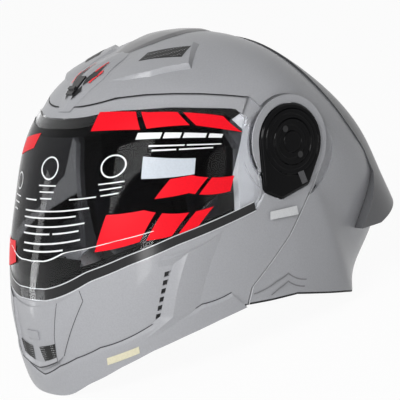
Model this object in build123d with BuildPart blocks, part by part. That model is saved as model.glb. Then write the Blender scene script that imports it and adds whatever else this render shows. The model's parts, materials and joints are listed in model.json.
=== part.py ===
from build123d import *
import math
import os

# Flip-up motorcycle helmet, standing on its chin bar and its rear neck edge.
#
# Millimetres. +Z is up, -Y is the front and +X is the wearer's left. The table is
# Z = 0 and the origin is the middle of the footprint box. The chin bar and the
# visor both turn about one axis, which runs along X through the two side hubs.
#
# The painted surface is one form: in the side view its edge is a closed curve about
# the hub axis, and towards each side the curve shrinks like a superellipse. Every
# shell, liner and pad is the space between two such forms, one inside the other,
# cut to an outline that is drawn in the side view, the plan or the front view.

os.makedirs("parts", exist_ok=True)

# Driving sizes of the whole helmet
half_width = 127.0
reach = 200.0
axis_height = 152.0
overrun = 20.0

# Walls and layers, each counted inwards from the painted surface
visor_wall = 2.0
chin_wall = 2.6
recess_depth = 3.0
shell_wall = 3.2
shell_depth = 6.0
skin_gap = 0.3
liner_thickness = 28.0
pivot_face_depth = 9.0
pivot_wall = 4.5
cap_depth = 1.5
step_width = 8.0

# Hinge hubs
axle_radius = 5.0
running_gap = 0.05
axle_head_radius = 9.0
axle_head_thickness = 3.0
arm_thickness = 2.3
ear_radius = 28.0
hub_radius = 17.0
screw_head_radius = 8.6
screw_head_thickness = 1.5
hub_height = 3.3
layer_gap = 0.3
ring_inner_radius = 31.2
ring_outer_radius = 37.2
pocket_radius = 38.0
flat_radius = 47.0
neck_radius = 46.0
pod_radius = 30.5
pod_thickness = 5.0
pod_edge = 1.6
pod_foot_radius = 6.0
pod_gap = 1.2
pod_screw_radius = 1.4
pod_screw_head_radius = 2.6
pod_screw_head_thickness = 1.4
pod_screw_circle = 12.6
arm_boss_radius = 4.0
arm_boss_circle = 49.0

# Gaps and rubber
seam_gap = 1.0
gasket_width = 4.0
gasket_proud = 0.7
trim_height = 1.6
trim_inset = 0.4
seal_height = 9.0
seal_overlap = 7.0
seal_thickness = 2.6
film_thickness = 0.35
film_gap = 0.25

# Raised pieces on the crown and the chin
scoop_height = 4.5
mesh_height = 2.0
spine_height = 2.4
vent_height = 4.0
cover_height = 1.6
seat_gap = 0.2

# Small mechanisms
slider_length = 20.0
slider_width = 9.0
slider_thickness = 2.2
slider_travel = 6.0
grip_height = 1.6
grip_length = 3.0
slide_gap = 0.3
slot_height = 3.8
slot_width = 4.6
slot_slant = 1.4
slot_pitch = 6.1
slot_drift = 2.6
slot_count = 6
grille_thickness = 1.4
grille_margin = 4.0
shutter_width = 16.0
shutter_height = 7.0
shutter_travel = 3.0
button_width = 24.0
button_depth = 6.0
button_height = 11.0
button_travel = 3.0
housing_wall = 2.0
striker_radius = 3.0
striker_length = 9.0
striker_plate = 3.0
hook_thickness = 3.0
hook_pin_radius = 2.0
hook_rim = 4.5
latch_inset = 24.0
latch_block = 7.0

# Inside fittings
crown_pad_thickness = 7.0
cheek_thickness = 31.0
neck_thickness = 20.0
chin_liner_gap = 2.2
chin_liner_thickness = 10.0
guard_thickness = 1.6
guard_half_width = 44.0
curtain_thickness = 1.2
curtain_width = 24.0
strap_width = 20.0
strap_thickness = 1.6
anchor_plate = 2.0
anchor_radius = 7.0
strap_clearance = 4.2
rivet_radius = 3.0
buckle_length = 42.0
buckle_width = 24.0
buckle_height = 9.0
buckle_wall = 2.0
buckle_reach = 33.0
buckle_edge = 1.2
lever_length = 40.0
lever_thickness = 2.4
lever_pin_radius = 1.6
tongue_length = 48.0
tongue_width = 14.0
tongue_thickness = 2.2
tooth_pitch = 3.0
tooth_depth = 0.8
tooth_count = 6

# Well in front of the helmet, where side-view outlines close
beyond_share = -1.3

# The painted form: a closed curve about the hub axis, one knot every 15 degrees,
# counted from straight forward (-Y) upwards. Knots are shares of the reach.
first_knot = -75
knot_step = 15
profile_shares = (
    1.62, 1.52, 1.325, 1.142, 0.952, 0.807, 0.728, 0.653,
    0.584, 0.5175, 0.4815, 0.464, 0.453, 0.4445, 0.443, 0.459,
    0.503, 0.5815, 0.695, 0.82, 0.895, 0.925, 1.12, 1.44,
)
# How square the form is towards its sides, at the same knots
depth_power_shares = (
    2.0, 2.05, 2.1, 2.1, 2.1, 2.1, 2.1, 2.1,
    2.15, 2.25, 2.3, 2.35, 2.35, 2.35, 2.3, 2.25,
    2.2, 2.15, 2.1, 2.05, 2.0, 2.0, 2.0, 2.0,
)
width_power_shares = (
    3.0, 2.7, 2.4, 2.25, 2.2, 2.2, 2.2, 2.2,
    2.15, 2.1, 2.05, 2.05, 2.05, 2.05, 2.05, 2.07,
    2.1, 2.15, 2.18, 2.3, 2.1, 2.1, 3.2, 3.0,
)
# How far the rear wing stands off the form, at the same knots
no_flare_shares = (0,) * len(profile_shares)
wing_flare_shares = (
    0, 0, 0, 0, 0, 0, 0, 0,
    0, 0, 0, 0, 0.004, 0.008, 0.011, 0.013,
    0.014, 0.015, 0.0175, 0.04, 0.23, 0.2, 0, 0,
)
section_pairs = 6
front_angles = range(-40, 10)
wing_angles = range(180, 240)
wing_tip_share = -0.465

# Side-view outlines about the hub axis, (backwards, upwards) in shares of the reach
brow_shares = [
    (-0.75, 0.3), (-0.58, 0.3175), (-0.495, 0.3325), (-0.425, 0.325), (-0.345, 0.305),
    (-0.265, 0.28), (-0.185, 0.25), (-0.1, 0.215),
]
seam_shares = [
    (0.125, -0.1425), (0.035, -0.225), (-0.035, -0.29), (-0.105, -0.355),
    (-0.225, -0.435), (-0.32, -0.495), (-0.355, -0.56),
]
face_top_shares = [(-0.75, 0.235), (-0.52, 0.2375), (-0.33, 0.2), (-0.25, 0.15)]
face_shares = face_top_shares + [
    (-0.225, 0.04), (-0.26, -0.07), (-0.29, -0.2), (-0.33, -0.375), (-0.38, -0.55),
]
shell_base_shares = [
    (-0.355, -0.56), (-0.25, -0.58), (-0.12, -0.6), (0.06, -0.665), (0.16, -0.7),
    (0.285, -0.75),
]
chin_base_shares = [
    (-0.36, -0.56), (-0.475, -0.57), (-0.62, -0.59), (-0.74, -0.6125),
    (-0.845, -0.65), (-0.935, -0.7025), (-0.965, -0.745),
]
chin_lip_share = -0.9725
visor_top_shares = [
    (beyond_share, 0.28), (-0.635, 0.2775), (-0.54, 0.29), (-0.39, 0.26),
    (-0.185, 0.1925), (-0.165, 0.15), (-0.18, 0.125),
]
visor_heel_shares = [(-0.155, -0.03), (-0.185, -0.11), (-0.21, -0.165)]
visor_foot_shares = [
    (-0.235, -0.205), (-0.4, -0.22), (-0.57, -0.235), (-0.74, -0.265),
    (-0.855, -0.298), (-0.97, -0.373), (beyond_share, -0.385),
]
pod_foot_shares = [(0.025, -0.16), (-0.1, -0.172), (-0.15, -0.135)]
film_shares = [
    (beyond_share, 0.235), (-0.635, 0.25), (-0.54, 0.2625), (-0.39, 0.2325), (-0.23, 0.18),
    (-0.195, 0.11), (-0.315, -0.075), (-0.5, -0.15), (-0.64, -0.165),
    (-0.76, -0.17), (-0.87, -0.185), (-0.91, -0.22), (beyond_share, -0.25),
]
wing_shares = [
    (0.2, 0.55), (0.25, 0.35), (0.315, 0.14), (0.38, -0.04), (0.45, -0.18),
    (0.47, -0.285), (0.32, -0.48), (0.45, -0.5), (0.64, wing_tip_share), (1.0, -0.45),
    (1.0, 0.55),
]
liner_face_shares = [
    (-0.8, 0.255), (-0.52, 0.2575), (-0.315, 0.215), (-0.225, 0.15), (-0.2, 0.04),
    (-0.235, -0.07), (-0.265, -0.2), (-0.27, -0.375), (-0.28, -0.5),
]
liner_base_shares = [
    (0.0, -0.56), (0.06, -0.57), (0.75, -0.57), (0.75, 0.7), (-0.8, 0.7),
]
cheek_shares = [
    (-0.34, -0.11), (0.04, -0.11), (0.1, -0.3), (0.04, -0.565), (-0.28, -0.52),
    (-0.375, -0.34),
]
crown_pad_shares = [
    (-0.55, 0.29), (-0.31, 0.245), (-0.185, 0.16), (-0.15, 0.04), (0.25, -0.05),
    (0.75, -0.32), (0.75, 0.6), (-0.55, 0.6),
]
neck_shares = [
    (0.06, -0.5715), (0.75, -0.5715), (0.75, -0.752), (0.29, -0.741),
    (0.16, -0.69), (0.08, -0.66),
]
chin_liner_shares = [
    (-0.6, -0.29), (-0.74, -0.3175), (-0.855, -0.35), (-0.97, -0.43),
    (beyond_share, -0.45), (beyond_share, -0.735), (-0.955, -0.735), (-0.93, -0.68),
    (-0.845, -0.63), (-0.74, -0.595), (-0.61, -0.57),
]
guard_shares = [(-0.97, -0.42), (-0.82, -0.24)]
curtain_shares = [(-0.94, -0.665), (-0.84, -0.605), (-0.73, -0.575)]
slot_first_shares = (-0.635, -0.335)
arm_tongue_shares = [
    (-0.15, -0.11), (-0.155, -0.235), (-0.04, -0.27), (-0.005, -0.245), (0.025, -0.18),
]

# Plan outlines on the crown, (sideways share of half width, backwards share of reach)
scoop_shares = [
    (0.2, -0.435), (0.36, -0.38), (0.505, -0.315), (0.615, -0.21), (0.465, -0.09),
    (0.235, -0.15), (0.15, -0.205), (0.245, -0.325),
]
scoop_mesh_shares = [
    (0.305, -0.305), (0.275, -0.245), (0.32, -0.175), (0.45, -0.115),
    (0.505, -0.19), (0.435, -0.235),
]
spine_shares = [(0.05, -0.4), (0.14, -0.32), (0.12, 0.0), (0.07, 0.2)]
vent_shares = [(0.05, -0.62), (0.2, -0.54), (0.24, -0.47), (0.14, -0.41)]
vent_mouth_shares = [(0.07, -0.585), (0.155, -0.535), (0.155, -0.505), (0.09, -0.525)]
# Front outline of the chin's middle cover, (sideways share of half width,
# upwards share of reach)
cover_shares = [(0.3, -0.42), (0.24, -0.5), (0.2, -0.6)]
cover_mesh_shares = [(0.21, -0.535), (0.165, -0.595)]

# Places in the side view, in shares of the reach
striker_place_shares = (-0.42, -0.46)
hook_place_shares = (-0.52, -0.42)
hook_shares = [
    (-0.545, -0.4), (-0.5, -0.395), (-0.461, -0.4455), (-0.429, -0.4765),
    (-0.4075, -0.495), (-0.42, -0.515), (-0.465, -0.495), (-0.53, -0.455),
]
striker_foot_shares = [(-0.34, -0.46), (-0.34, -0.4), (-0.29, -0.4), (-0.29, -0.46)]
striker_arm_shares = [
    (-0.44, -0.48), (-0.44, -0.44), (-0.34, -0.4), (-0.29, -0.4), (-0.29, -0.46),
    (-0.34, -0.47),
]
anchor_place_shares = (0.0, -0.395)
strap_fall_shares = (-0.595, -0.648, -0.67)
button_place_shares = (-0.93, -0.7175)
arm_boss_angles = (-60, -82)
pod_screw_angles = (70, 250)
vent_seat_angle = 38
vent_slope = 30
shutter_angle = -27


def between_knots(shares, angle):
    """The share at an angle, on the smooth closed curve through the knots."""
    place = (angle - first_knot) / knot_step
    knot = math.floor(place)
    part = place - knot
    a, b, c, d = (shares[(knot + n) % len(shares)] for n in (-1, 0, 1, 2))
    curve = 2 * a - 5 * b + 4 * c - d + part * (3 * (b - c) + d - a)
    return b + part / 2 * (c - a + part * curve)


def form_radius(angle, x, inset, side_inset, flares=no_flare_shares):
    """Distance from the hub axis to the form, inset, at an angle and a place x."""
    full = (between_knots(profile_shares, angle) + between_knots(flares, angle)) * reach
    depth_power = between_knots(depth_power_shares, angle)
    width_power = between_knots(width_power_shares, angle)
    along = abs(x) / (half_width - side_inset)
    return (full - inset) * (1 - along**width_power) ** (1 / depth_power)


knot_angles = [first_knot + knot_step * n for n in range(len(profile_shares))]
front_reach = cover_height + seat_gap + max(
    form_radius(angle, 0, 0, 0) * math.cos(math.radians(angle)) for angle in front_angles
)
wing_angle = next(
    angle
    for angle in wing_angles
    if form_radius(angle, 0, 0, 0, wing_flare_shares) * math.sin(math.radians(angle))
    < wing_tip_share * reach
)
rear_reach = -form_radius(wing_angle, 0, 0, 0, wing_flare_shares) * math.cos(
    math.radians(wing_angle)
)
axis_y = (front_reach - rear_reach) / 2
side = Plane(origin=(0, axis_y, axis_height), x_dir=(0, 1, 0), z_dir=(1, 0, 0))
plan = Plane(origin=(0, axis_y, axis_height))
front = Plane(origin=(0, axis_y, axis_height), x_dir=(1, 0, 0), z_dir=(0, -1, 0))

pivot_face = half_width - pivot_face_depth
liner_side_inset = pivot_face_depth + pivot_wall - cap_depth
arm_face = pivot_face + layer_gap
ear_face = arm_face + arm_thickness + layer_gap
ear_top = ear_face + visor_wall
hub_top = arm_face + arm_thickness + hub_height
pod_face = ear_top + pod_gap


def in_side(shares):
    """Side-view shares as lengths."""
    return [(y * reach, z * reach) for y, z in shares]


def form(inset, side_inset=None, flares=no_flare_shares):
    """The closed body of the form, inset, with a small flat cap at each side."""
    side_inset = inset if side_inset is None else side_inset
    cap = half_width - side_inset - cap_depth
    with BuildPart() as body:
        for pair in range(-section_pairs, section_pairs + 1):
            x = cap * math.sin(math.radians(90 * pair / section_pairs))
            points = []
            for angle in knot_angles:
                radius = form_radius(angle, x, inset, side_inset, flares)
                turn = math.radians(angle)
                points.append((-radius * math.cos(turn), radius * math.sin(turn)))
            with BuildSketch(side.offset(x)):
                with BuildLine():
                    Spline(*points, periodic=True)
                make_face()
        loft()
    return body.part


def side_prism(points, low=-half_width - overrun, high=half_width + overrun):
    """A prism over a side-view outline, from one place along X to another."""
    with BuildPart() as prism:
        with BuildSketch(side.offset(low)):
            with BuildLine():
                Polyline(*points, close=True)
            make_face()
        extrude(amount=high - low)
    return prism.part


def plan_prism(shares, mirrored=False):
    """An upright prism over a plan outline on the crown."""
    points = [(x * half_width, y * reach) for x, y in shares]
    if mirrored:
        points += [(-x, y) for x, y in reversed(points)]
    with BuildPart() as prism:
        with BuildSketch(plan):
            with BuildLine():
                Polyline(*points, close=True)
            make_face()
        extrude(amount=reach)
    return prism.part


def front_prism(shares):
    """A prism along Y over a front-view outline that is alike on both sides."""
    points = [(x * half_width, z * reach) for x, z in shares]
    points += [(-x, z) for x, z in reversed(points)]
    with BuildPart() as prism:
        with BuildSketch(front):
            with BuildLine():
                Polyline(*points, close=True)
            make_face()
        extrude(amount=front_reach + overrun)
    return prism.part


def band(outer, inner, outline):
    """The wall between two forms, inside one outline's prism."""
    with BuildPart() as wall:
        add(outer)
        add(outline, mode=Mode.INTERSECT)
        add(inner, mode=Mode.SUBTRACT)
    return wall.part


def pod_prism(plane, growth, depth):
    """A prism over the hub cover's drop-shaped outline, grown all round."""
    with BuildPart() as prism:
        with BuildSketch(plane):
            Circle(pod_radius + growth)
            with Locations(*in_side(pod_foot_shares)):
                Circle(pod_foot_radius + growth)
            make_hull()
        extrude(amount=depth)
    return prism.part


def save(part, name):
    part.label = name
    export_step(part, f"parts/{name}.step")
    box = part.bounding_box()
    print(name, len(part.solids()), round(part.volume), box.min, box.max)


def save_pair(part, name):
    """The wearer's left piece, and its mirror image on the right."""
    save(part, f"{name}_left")
    with BuildPart() as right:
        mirror(part, about=Plane.YZ)
    save(right.part, f"{name}_right")


# The nested forms
paint_form = form(0)
over_form = form(-seat_gap)
visor_form = form(visor_wall)
recess_form = form(recess_depth)
wall_form = form(shell_wall)
shell_inner_form = form(shell_depth, liner_side_inset)
chin_inner_form = form(chin_wall)

# Outlines shared by more than one piece
base_line = in_side(shell_base_shares) + [
    (reach * shell_base_shares[-1][0] + step_width, -axis_height), (reach, -axis_height)
]
raised_base = [(y, z + trim_height) for y, z in base_line]
seam_line = in_side(seam_shares)
face_line = in_side(face_shares)
chin_base = in_side(chin_base_shares) + [
    (chin_lip_share * reach, -axis_height), (beyond_share * reach, -axis_height)
]
visor_foot = in_side(visor_foot_shares)
visible_outline = side_prism(
    in_side(brow_shares) + [(0, 0)] + seam_line
    + [(seam_line[-1][0], -reach), (reach, -reach), (reach, reach), (-reach, reach)]
)
whole_outline = side_prism(
    face_line + raised_base + [(reach, reach), (face_line[0][0], reach)]
)
with BuildPart() as pocket:
    with BuildSketch(side.offset(pivot_face)):
        Circle(pocket_radius)
    extrude(amount=overrun)
    mirror(about=Plane.YZ)
with BuildPart() as pivot_flat:
    with BuildSketch(side.offset(pivot_face)):
        Circle(2 * pocket_radius)
    extrude(amount=overrun)
    mirror(about=Plane.YZ)
with BuildPart() as shoulder:
    with BuildSketch(side.offset(arm_face + arm_thickness)):
        Circle(flat_radius)
    extrude(amount=overrun)
    mirror(about=Plane.YZ)

# Outer shell: the visible crown and rear, and a recessed rim under the visor
# and the chin bar, thinned from inside behind the visible part
with BuildPart() as visible_wall:
    add(paint_form)
    add(visible_outline, mode=Mode.INTERSECT)
    add(pocket.part, mode=Mode.SUBTRACT)
    add(shoulder.part, mode=Mode.SUBTRACT)
with BuildPart() as recessed_wall:
    add(recess_form)
    add(pivot_flat.part, mode=Mode.SUBTRACT)
with BuildPart() as hollow:
    add(wall_form)
    with BuildSketch(side.offset(-half_width - overrun)):
        with BuildLine():
            Polyline(
                *[(y, z + step_width) for y, z in in_side(brow_shares)],
                (pocket_radius + step_width, 0),
                *[(y + step_width, z) for y, z in seam_line],
                (seam_line[-1][0] + step_width, -reach),
                (reach, -reach), (reach, reach), (-reach, reach),
                close=True,
            )
        make_face()
        Circle(pocket_radius + step_width, mode=Mode.SUBTRACT)
    extrude(amount=2 * (half_width + overrun), mode=Mode.INTERSECT)
with BuildPart() as outer_shell:
    add(visible_wall.part)
    add(recessed_wall.part)
    add(whole_outline, mode=Mode.INTERSECT)
    add(shell_inner_form, mode=Mode.SUBTRACT)
    add(hollow.part, mode=Mode.SUBTRACT)
    with BuildSketch(side.offset(-half_width)):
        Circle(axle_radius + running_gap)
    extrude(amount=2 * half_width, mode=Mode.SUBTRACT)
save(outer_shell.part, "outer_shell")

# Rear wing over the neck
with BuildPart() as rear_spoiler:
    add(form(0, flares=wing_flare_shares))
    add(side_prism(in_side(wing_shares)), mode=Mode.INTERSECT)
    add(over_form, mode=Mode.SUBTRACT)
save(rear_spoiler.part, "rear_spoiler")

# Raised pieces on the crown
with BuildPart() as crown_scoop:
    add(form(-scoop_height))
    add(plan_prism(scoop_shares), mode=Mode.INTERSECT)
    add(over_form, mode=Mode.SUBTRACT)
    add(plan_prism(scoop_mesh_shares), mode=Mode.SUBTRACT)
save_pair(crown_scoop.part, "crown_scoop")

mesh_form = form(-mesh_height)
crown_mesh = band(mesh_form, over_form, plan_prism(scoop_mesh_shares))
save_pair(crown_mesh, "crown_mesh")

crown_spine = band(form(-spine_height), over_form, plan_prism(spine_shares, mirrored=True))
save(crown_spine, "crown_spine")

with BuildPart() as vent_mouths:
    add(plan_prism(vent_mouth_shares))
    mirror(about=Plane.YZ)
seat_radius = form_radius(vent_seat_angle, 0, 0, 0)
seat_turn = math.radians(vent_seat_angle)
slope_turn = math.radians(vent_slope)
seat_rise = vent_height - slider_thickness
deck = Plane(
    origin=(
        0,
        axis_y - seat_radius * math.cos(seat_turn) - seat_rise * math.sin(slope_turn),
        axis_height + seat_radius * math.sin(seat_turn) + seat_rise * math.cos(slope_turn),
    ),
    x_dir=(1, 0, 0),
    z_dir=(0, -math.sin(slope_turn), math.cos(slope_turn)),
)
with BuildPart() as top_vent_housing:
    add(form(-vent_height))
    add(plan_prism(vent_shares, mirrored=True), mode=Mode.INTERSECT)
    add(over_form, mode=Mode.SUBTRACT)
    add(vent_mouths.part, mode=Mode.SUBTRACT)
    with BuildSketch(deck):
        Rectangle(
            slider_width + 2 * slide_gap, slider_length + slider_travel + 2 * slide_gap
        )
    extrude(amount=overrun, mode=Mode.SUBTRACT)
save(top_vent_housing.part, "top_vent_housing")

top_vent_grille = band(mesh_form, over_form, vent_mouths.part)
save(top_vent_grille, "top_vent_grille")

with BuildPart() as top_vent_slider:
    with BuildSketch(deck.offset(slide_gap)):
        with Locations((0, -slider_travel / 2)):
            Rectangle(slider_width, slider_length)
    extrude(amount=slider_thickness - slide_gap)
    with BuildSketch(deck.offset(slider_thickness)):
        with Locations((0, -slider_travel / 2 - slider_length / 2 + 2 * grip_length)):
            Rectangle(slider_width, grip_length)
    extrude(amount=grip_height)
save(top_vent_slider.part, "top_vent_slider")

# Rubber along the eyeport and along the bottom edge
rim_line = in_side(face_top_shares)
gasket_strip = side_prism(
    rim_line + [(y - gasket_width, z - gasket_width) for y, z in reversed(rim_line)]
)
eyeport_gasket = band(
    form(recess_depth - gasket_proud), shell_inner_form, gasket_strip
)
save(eyeport_gasket, "eyeport_gasket")

trim_form = form(trim_inset)
trim_strip = side_prism(base_line + raised_base[::-1])
base_trim = band(trim_form, shell_inner_form, trim_strip)
save(base_trim, "base_trim")

# Foam liner with room for the axle heads, the strap rivets and the strikers
liner_form = form(
    shell_depth + skin_gap, liner_side_inset + skin_gap
)
liner_inner_inset = shell_depth + skin_gap + liner_thickness
liner_inner_side = liner_side_inset + skin_gap + liner_thickness
anchor_y, anchor_z = in_side([anchor_place_shares])[0]
strap_x = half_width - liner_inner_side - cap_depth - strap_clearance - anchor_plate
with BuildPart() as eps_liner:
    add(liner_form)
    add(
        side_prism(in_side(liner_face_shares) + in_side(liner_base_shares)),
        mode=Mode.INTERSECT,
    )
    add(form(liner_inner_inset, liner_inner_side), mode=Mode.SUBTRACT)
    with BuildSketch(side.offset(-half_width)):
        with Locations((anchor_y, anchor_z)):
            Circle(rivet_radius + skin_gap)
    extrude(amount=2 * half_width, mode=Mode.SUBTRACT)
    head_low = half_width - liner_side_inset - cap_depth - axle_head_thickness
    with BuildSketch(side.offset(head_low - 2 * skin_gap)):
        Circle(axle_head_radius + 2 * skin_gap)
    extrude(amount=overrun, mode=Mode.SUBTRACT)
    with BuildSketch(side.offset(2 * skin_gap - head_low)):
        Circle(axle_head_radius + 2 * skin_gap)
    extrude(amount=-overrun, mode=Mode.SUBTRACT)
save(eps_liner.part, "eps_liner")

# Soft pieces, each clear of the foam by the skin gap
crown_pad = band(
    form(liner_inner_inset + skin_gap, liner_inner_side + skin_gap),
    form(
        liner_inner_inset + skin_gap + crown_pad_thickness,
        liner_inner_side + skin_gap + crown_pad_thickness,
    ),
    side_prism(in_side(crown_pad_shares)),
)
save(crown_pad, "crown_pad")

cheek_inset = liner_inner_inset + skin_gap
cheek_side = liner_inner_side + skin_gap
with BuildPart() as cheek_pad:
    add(form(cheek_inset, cheek_side))
    add(side_prism(in_side(cheek_shares), low=0), mode=Mode.INTERSECT)
    add(
        form(cheek_inset + cheek_thickness, cheek_side + cheek_thickness),
        mode=Mode.SUBTRACT,
    )
    with BuildSketch(side.offset(strap_x - strap_thickness - skin_gap)):
        with Locations((anchor_y, anchor_z + anchor_radius + skin_gap)):
            Rectangle(strap_width + 2 * skin_gap, reach, align=(Align.CENTER, Align.MAX))
    extrude(amount=overrun, mode=Mode.SUBTRACT)
save_pair(cheek_pad.part, "cheek_pad")

neck_roll = band(
    form(shell_depth + 2 * skin_gap, liner_side_inset + 2 * skin_gap),
    form(shell_depth + neck_thickness, liner_side_inset + neck_thickness),
    side_prism(in_side(neck_shares)),
)
save(neck_roll, "neck_roll")

# Hinge axle through the shell, and the screw that keeps the chin arm on it
axle_low = half_width - liner_side_inset - cap_depth - skin_gap
screw_face = hub_top - screw_head_thickness - skin_gap
screw_stud_radius = axle_radius / 2
with BuildPart() as pivot_axle:
    with BuildSketch(side.offset(axle_low)):
        Circle(axle_head_radius)
    extrude(amount=-axle_head_thickness)
    with BuildSketch(side.offset(axle_low)):
        Circle(axle_radius)
    extrude(amount=screw_face - axle_low)
    with BuildSketch(side.offset(screw_face)):
        Circle(screw_stud_radius + running_gap)
    extrude(amount=-axle_radius, mode=Mode.SUBTRACT)
save_pair(pivot_axle.part, "pivot_axle")

with BuildPart() as axle_screw:
    with BuildSketch(side.offset(screw_face)):
        Circle(screw_head_radius)
    extrude(amount=screw_head_thickness)
    with BuildSketch(side.offset(screw_face)):
        Circle(screw_stud_radius)
    extrude(amount=running_gap - axle_radius)
    with BuildSketch(side.offset(screw_face + screw_head_thickness)):
        RegularPolygon(screw_stud_radius, 6)
    extrude(amount=-screw_head_thickness / 2, mode=Mode.SUBTRACT)
save_pair(axle_screw.part, "axle_screw")

# Chin arm: a disc on the axle, the visor's hub, and two posts to the chin wall
chin_skin_form = form(chin_wall + skin_gap)
screw_places = [
    (
        -pod_screw_circle * math.cos(math.radians(angle)),
        pod_screw_circle * math.sin(math.radians(angle)),
    )
    for angle in pod_screw_angles
]
post_places = [
    (
        -arm_boss_circle * math.cos(math.radians(angle)),
        arm_boss_circle * math.sin(math.radians(angle)),
    )
    for angle in arm_boss_angles
]
with BuildPart() as hinge_arm:
    with BuildSketch(side.offset(arm_face)):
        Circle(ring_outer_radius)
        with BuildLine():
            Polyline(*in_side(arm_tongue_shares), close=True)
        make_face()
    extrude(amount=arm_thickness)
    with BuildSketch(side.offset(arm_face + arm_thickness)):
        Circle(hub_radius)
        with Locations(*post_places):
            Circle(arm_boss_radius)
    extrude(amount=overrun)
    add(chin_skin_form, mode=Mode.INTERSECT)
    with BuildSketch(side.offset(arm_face + arm_thickness)):
        Circle(hub_radius)
    extrude(amount=hub_height)
    with BuildSketch(side.offset(arm_face)):
        Circle(axle_radius + running_gap)
    extrude(amount=overrun, mode=Mode.SUBTRACT)
    with BuildSketch(side.offset(screw_face)):
        Circle(screw_head_radius + skin_gap)
    extrude(amount=overrun, mode=Mode.SUBTRACT)
    with BuildSketch(side.offset(hub_top)):
        with Locations(*screw_places):
            Circle(pod_screw_radius + running_gap)
    extrude(amount=-hub_height, mode=Mode.SUBTRACT)
save_pair(hinge_arm.part, "hinge_arm")

# Gloss cover over each hub, and its two screws
with BuildPart() as pod:
    add(pod_prism(side.offset(pod_face), 0, pod_thickness))
    fillet(pod.faces().sort_by(Axis.X)[-1].edges(), radius=pod_edge)
    with BuildSketch(side.offset(pod_face + pod_thickness)):
        with Locations(*screw_places):
            Circle(pod_screw_head_radius + running_gap)
    extrude(amount=-pod_screw_head_thickness, mode=Mode.SUBTRACT)
    with BuildSketch(side.offset(pod_face)):
        with Locations(*screw_places):
            Circle(pod_screw_radius + running_gap)
    extrude(amount=pod_thickness, mode=Mode.SUBTRACT)
save_pair(pod.part, "pod")

with BuildPart() as pod_screws:
    with BuildSketch(side.offset(pod_face + pod_thickness)):
        with Locations(*screw_places):
            Circle(pod_screw_head_radius)
    extrude(amount=-pod_screw_head_thickness)
    with BuildSketch(side.offset(hub_top - hub_height / 2)):
        with Locations(*screw_places):
            Circle(pod_screw_radius)
    extrude(amount=pod_face + pod_thickness - pod_screw_head_thickness
            - hub_top + hub_height / 2)
save_pair(pod_screws.part, "pod_screws")

# Chin bar: the painted wall, the ring about each cover, the slots and the mouths
chin_outline = side_prism(
    [(0, 0)] + [(y - seam_gap, z) for y, z in seam_line]
    + [(y, z + trim_height) for y, z in chin_base]
    + [(y, z - seam_gap) for y, z in reversed(visor_foot)]
)
slot_first = in_side([slot_first_shares])[0]
slot_last = (
    slot_first[0] - slot_drift * (slot_count - 1),
    slot_first[1] - slot_pitch * (slot_count - 1),
)
cover_mouth = front_prism(cover_mesh_shares)
shutter_radius = form_radius(shutter_angle, 0, 0, 0)
shutter_turn = math.radians(shutter_angle)
shutter_seat = shutter_radius * math.cos(shutter_turn) - chin_wall / 3
shutter_z = shutter_radius * math.sin(shutter_turn)
shutter_slot_height = shutter_height + shutter_travel + 2 * slide_gap
with BuildPart() as chin_bar_shell:
    add(paint_form)
    add(chin_outline, mode=Mode.INTERSECT)
    add(chin_inner_form, mode=Mode.SUBTRACT)
    for toward in (1, -1):
        with BuildSketch(side.offset(toward * pod_face)):
            Circle(ring_outer_radius)
            Circle(ring_inner_radius, mode=Mode.SUBTRACT)
        extrude(amount=toward * (half_width - cap_depth - pod_face))
        add(
            pod_prism(
                side.offset(toward * (pivot_face - layer_gap)),
                ring_inner_radius - pod_radius,
                toward * overrun,
            ),
            mode=Mode.SUBTRACT,
        )
    for number in range(slot_count):
        y = slot_first[0] - slot_drift * number
        z = slot_first[1] - slot_pitch * number
        with BuildSketch(side.offset(-half_width)):
            with BuildLine():
                Polyline(
                    (y - slot_width / 2, z - slot_height / 2),
                    (y + slot_width / 2, z - slot_height / 2),
                    (y + slot_width / 2 + slot_slant, z + slot_height / 2),
                    (y - slot_width / 2 + slot_slant, z + slot_height / 2),
                    close=True,
                )
            make_face()
        extrude(amount=2 * half_width, mode=Mode.SUBTRACT)
    add(cover_mouth, mode=Mode.SUBTRACT)
    with BuildSketch(front.offset(shutter_seat)):
        with Locations((0, shutter_z + shutter_travel / 2)):
            Rectangle(shutter_width + 2 * slide_gap, shutter_slot_height)
    extrude(amount=overrun, mode=Mode.SUBTRACT)
save(chin_bar_shell.part, "chin_bar_shell")

with BuildPart() as chin_vent_cover:
    add(form(-seat_gap - cover_height))
    add(front_prism(cover_shares), mode=Mode.INTERSECT)
    add(over_form, mode=Mode.SUBTRACT)
    add(cover_mouth, mode=Mode.SUBTRACT)
    with BuildSketch(front.offset(shutter_seat)):
        with Locations((0, shutter_z + shutter_travel / 2)):
            Rectangle(shutter_width + 2 * slide_gap, shutter_slot_height)
    extrude(amount=overrun, mode=Mode.SUBTRACT)
save(chin_vent_cover.part, "chin_vent_cover")

grille_outer_form = form(chin_wall + skin_gap)
grille_inner_form = form(chin_wall + skin_gap + grille_thickness)
mouth_corners = [
    (x * half_width + grille_margin, z * reach + rise)
    for (x, z), rise in zip(cover_mesh_shares, (grille_margin, -grille_margin))
]
with BuildPart() as mouth_frame:
    with BuildSketch(front):
        with BuildLine():
            Polyline(
                *mouth_corners, *[(-x, z) for x, z in reversed(mouth_corners)], close=True
            )
        make_face()
    extrude(amount=front_reach)
chin_vent_mesh = band(grille_outer_form, grille_inner_form, mouth_frame.part)
save(chin_vent_mesh, "chin_vent_mesh")

with BuildPart() as chin_vent_shutter:
    with BuildSketch(front.offset(shutter_seat + slide_gap)):
        with Locations((0, shutter_z)):
            Rectangle(shutter_width, shutter_height)
    extrude(amount=chin_wall)
save(chin_vent_shutter.part, "chin_vent_shutter")

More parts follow.
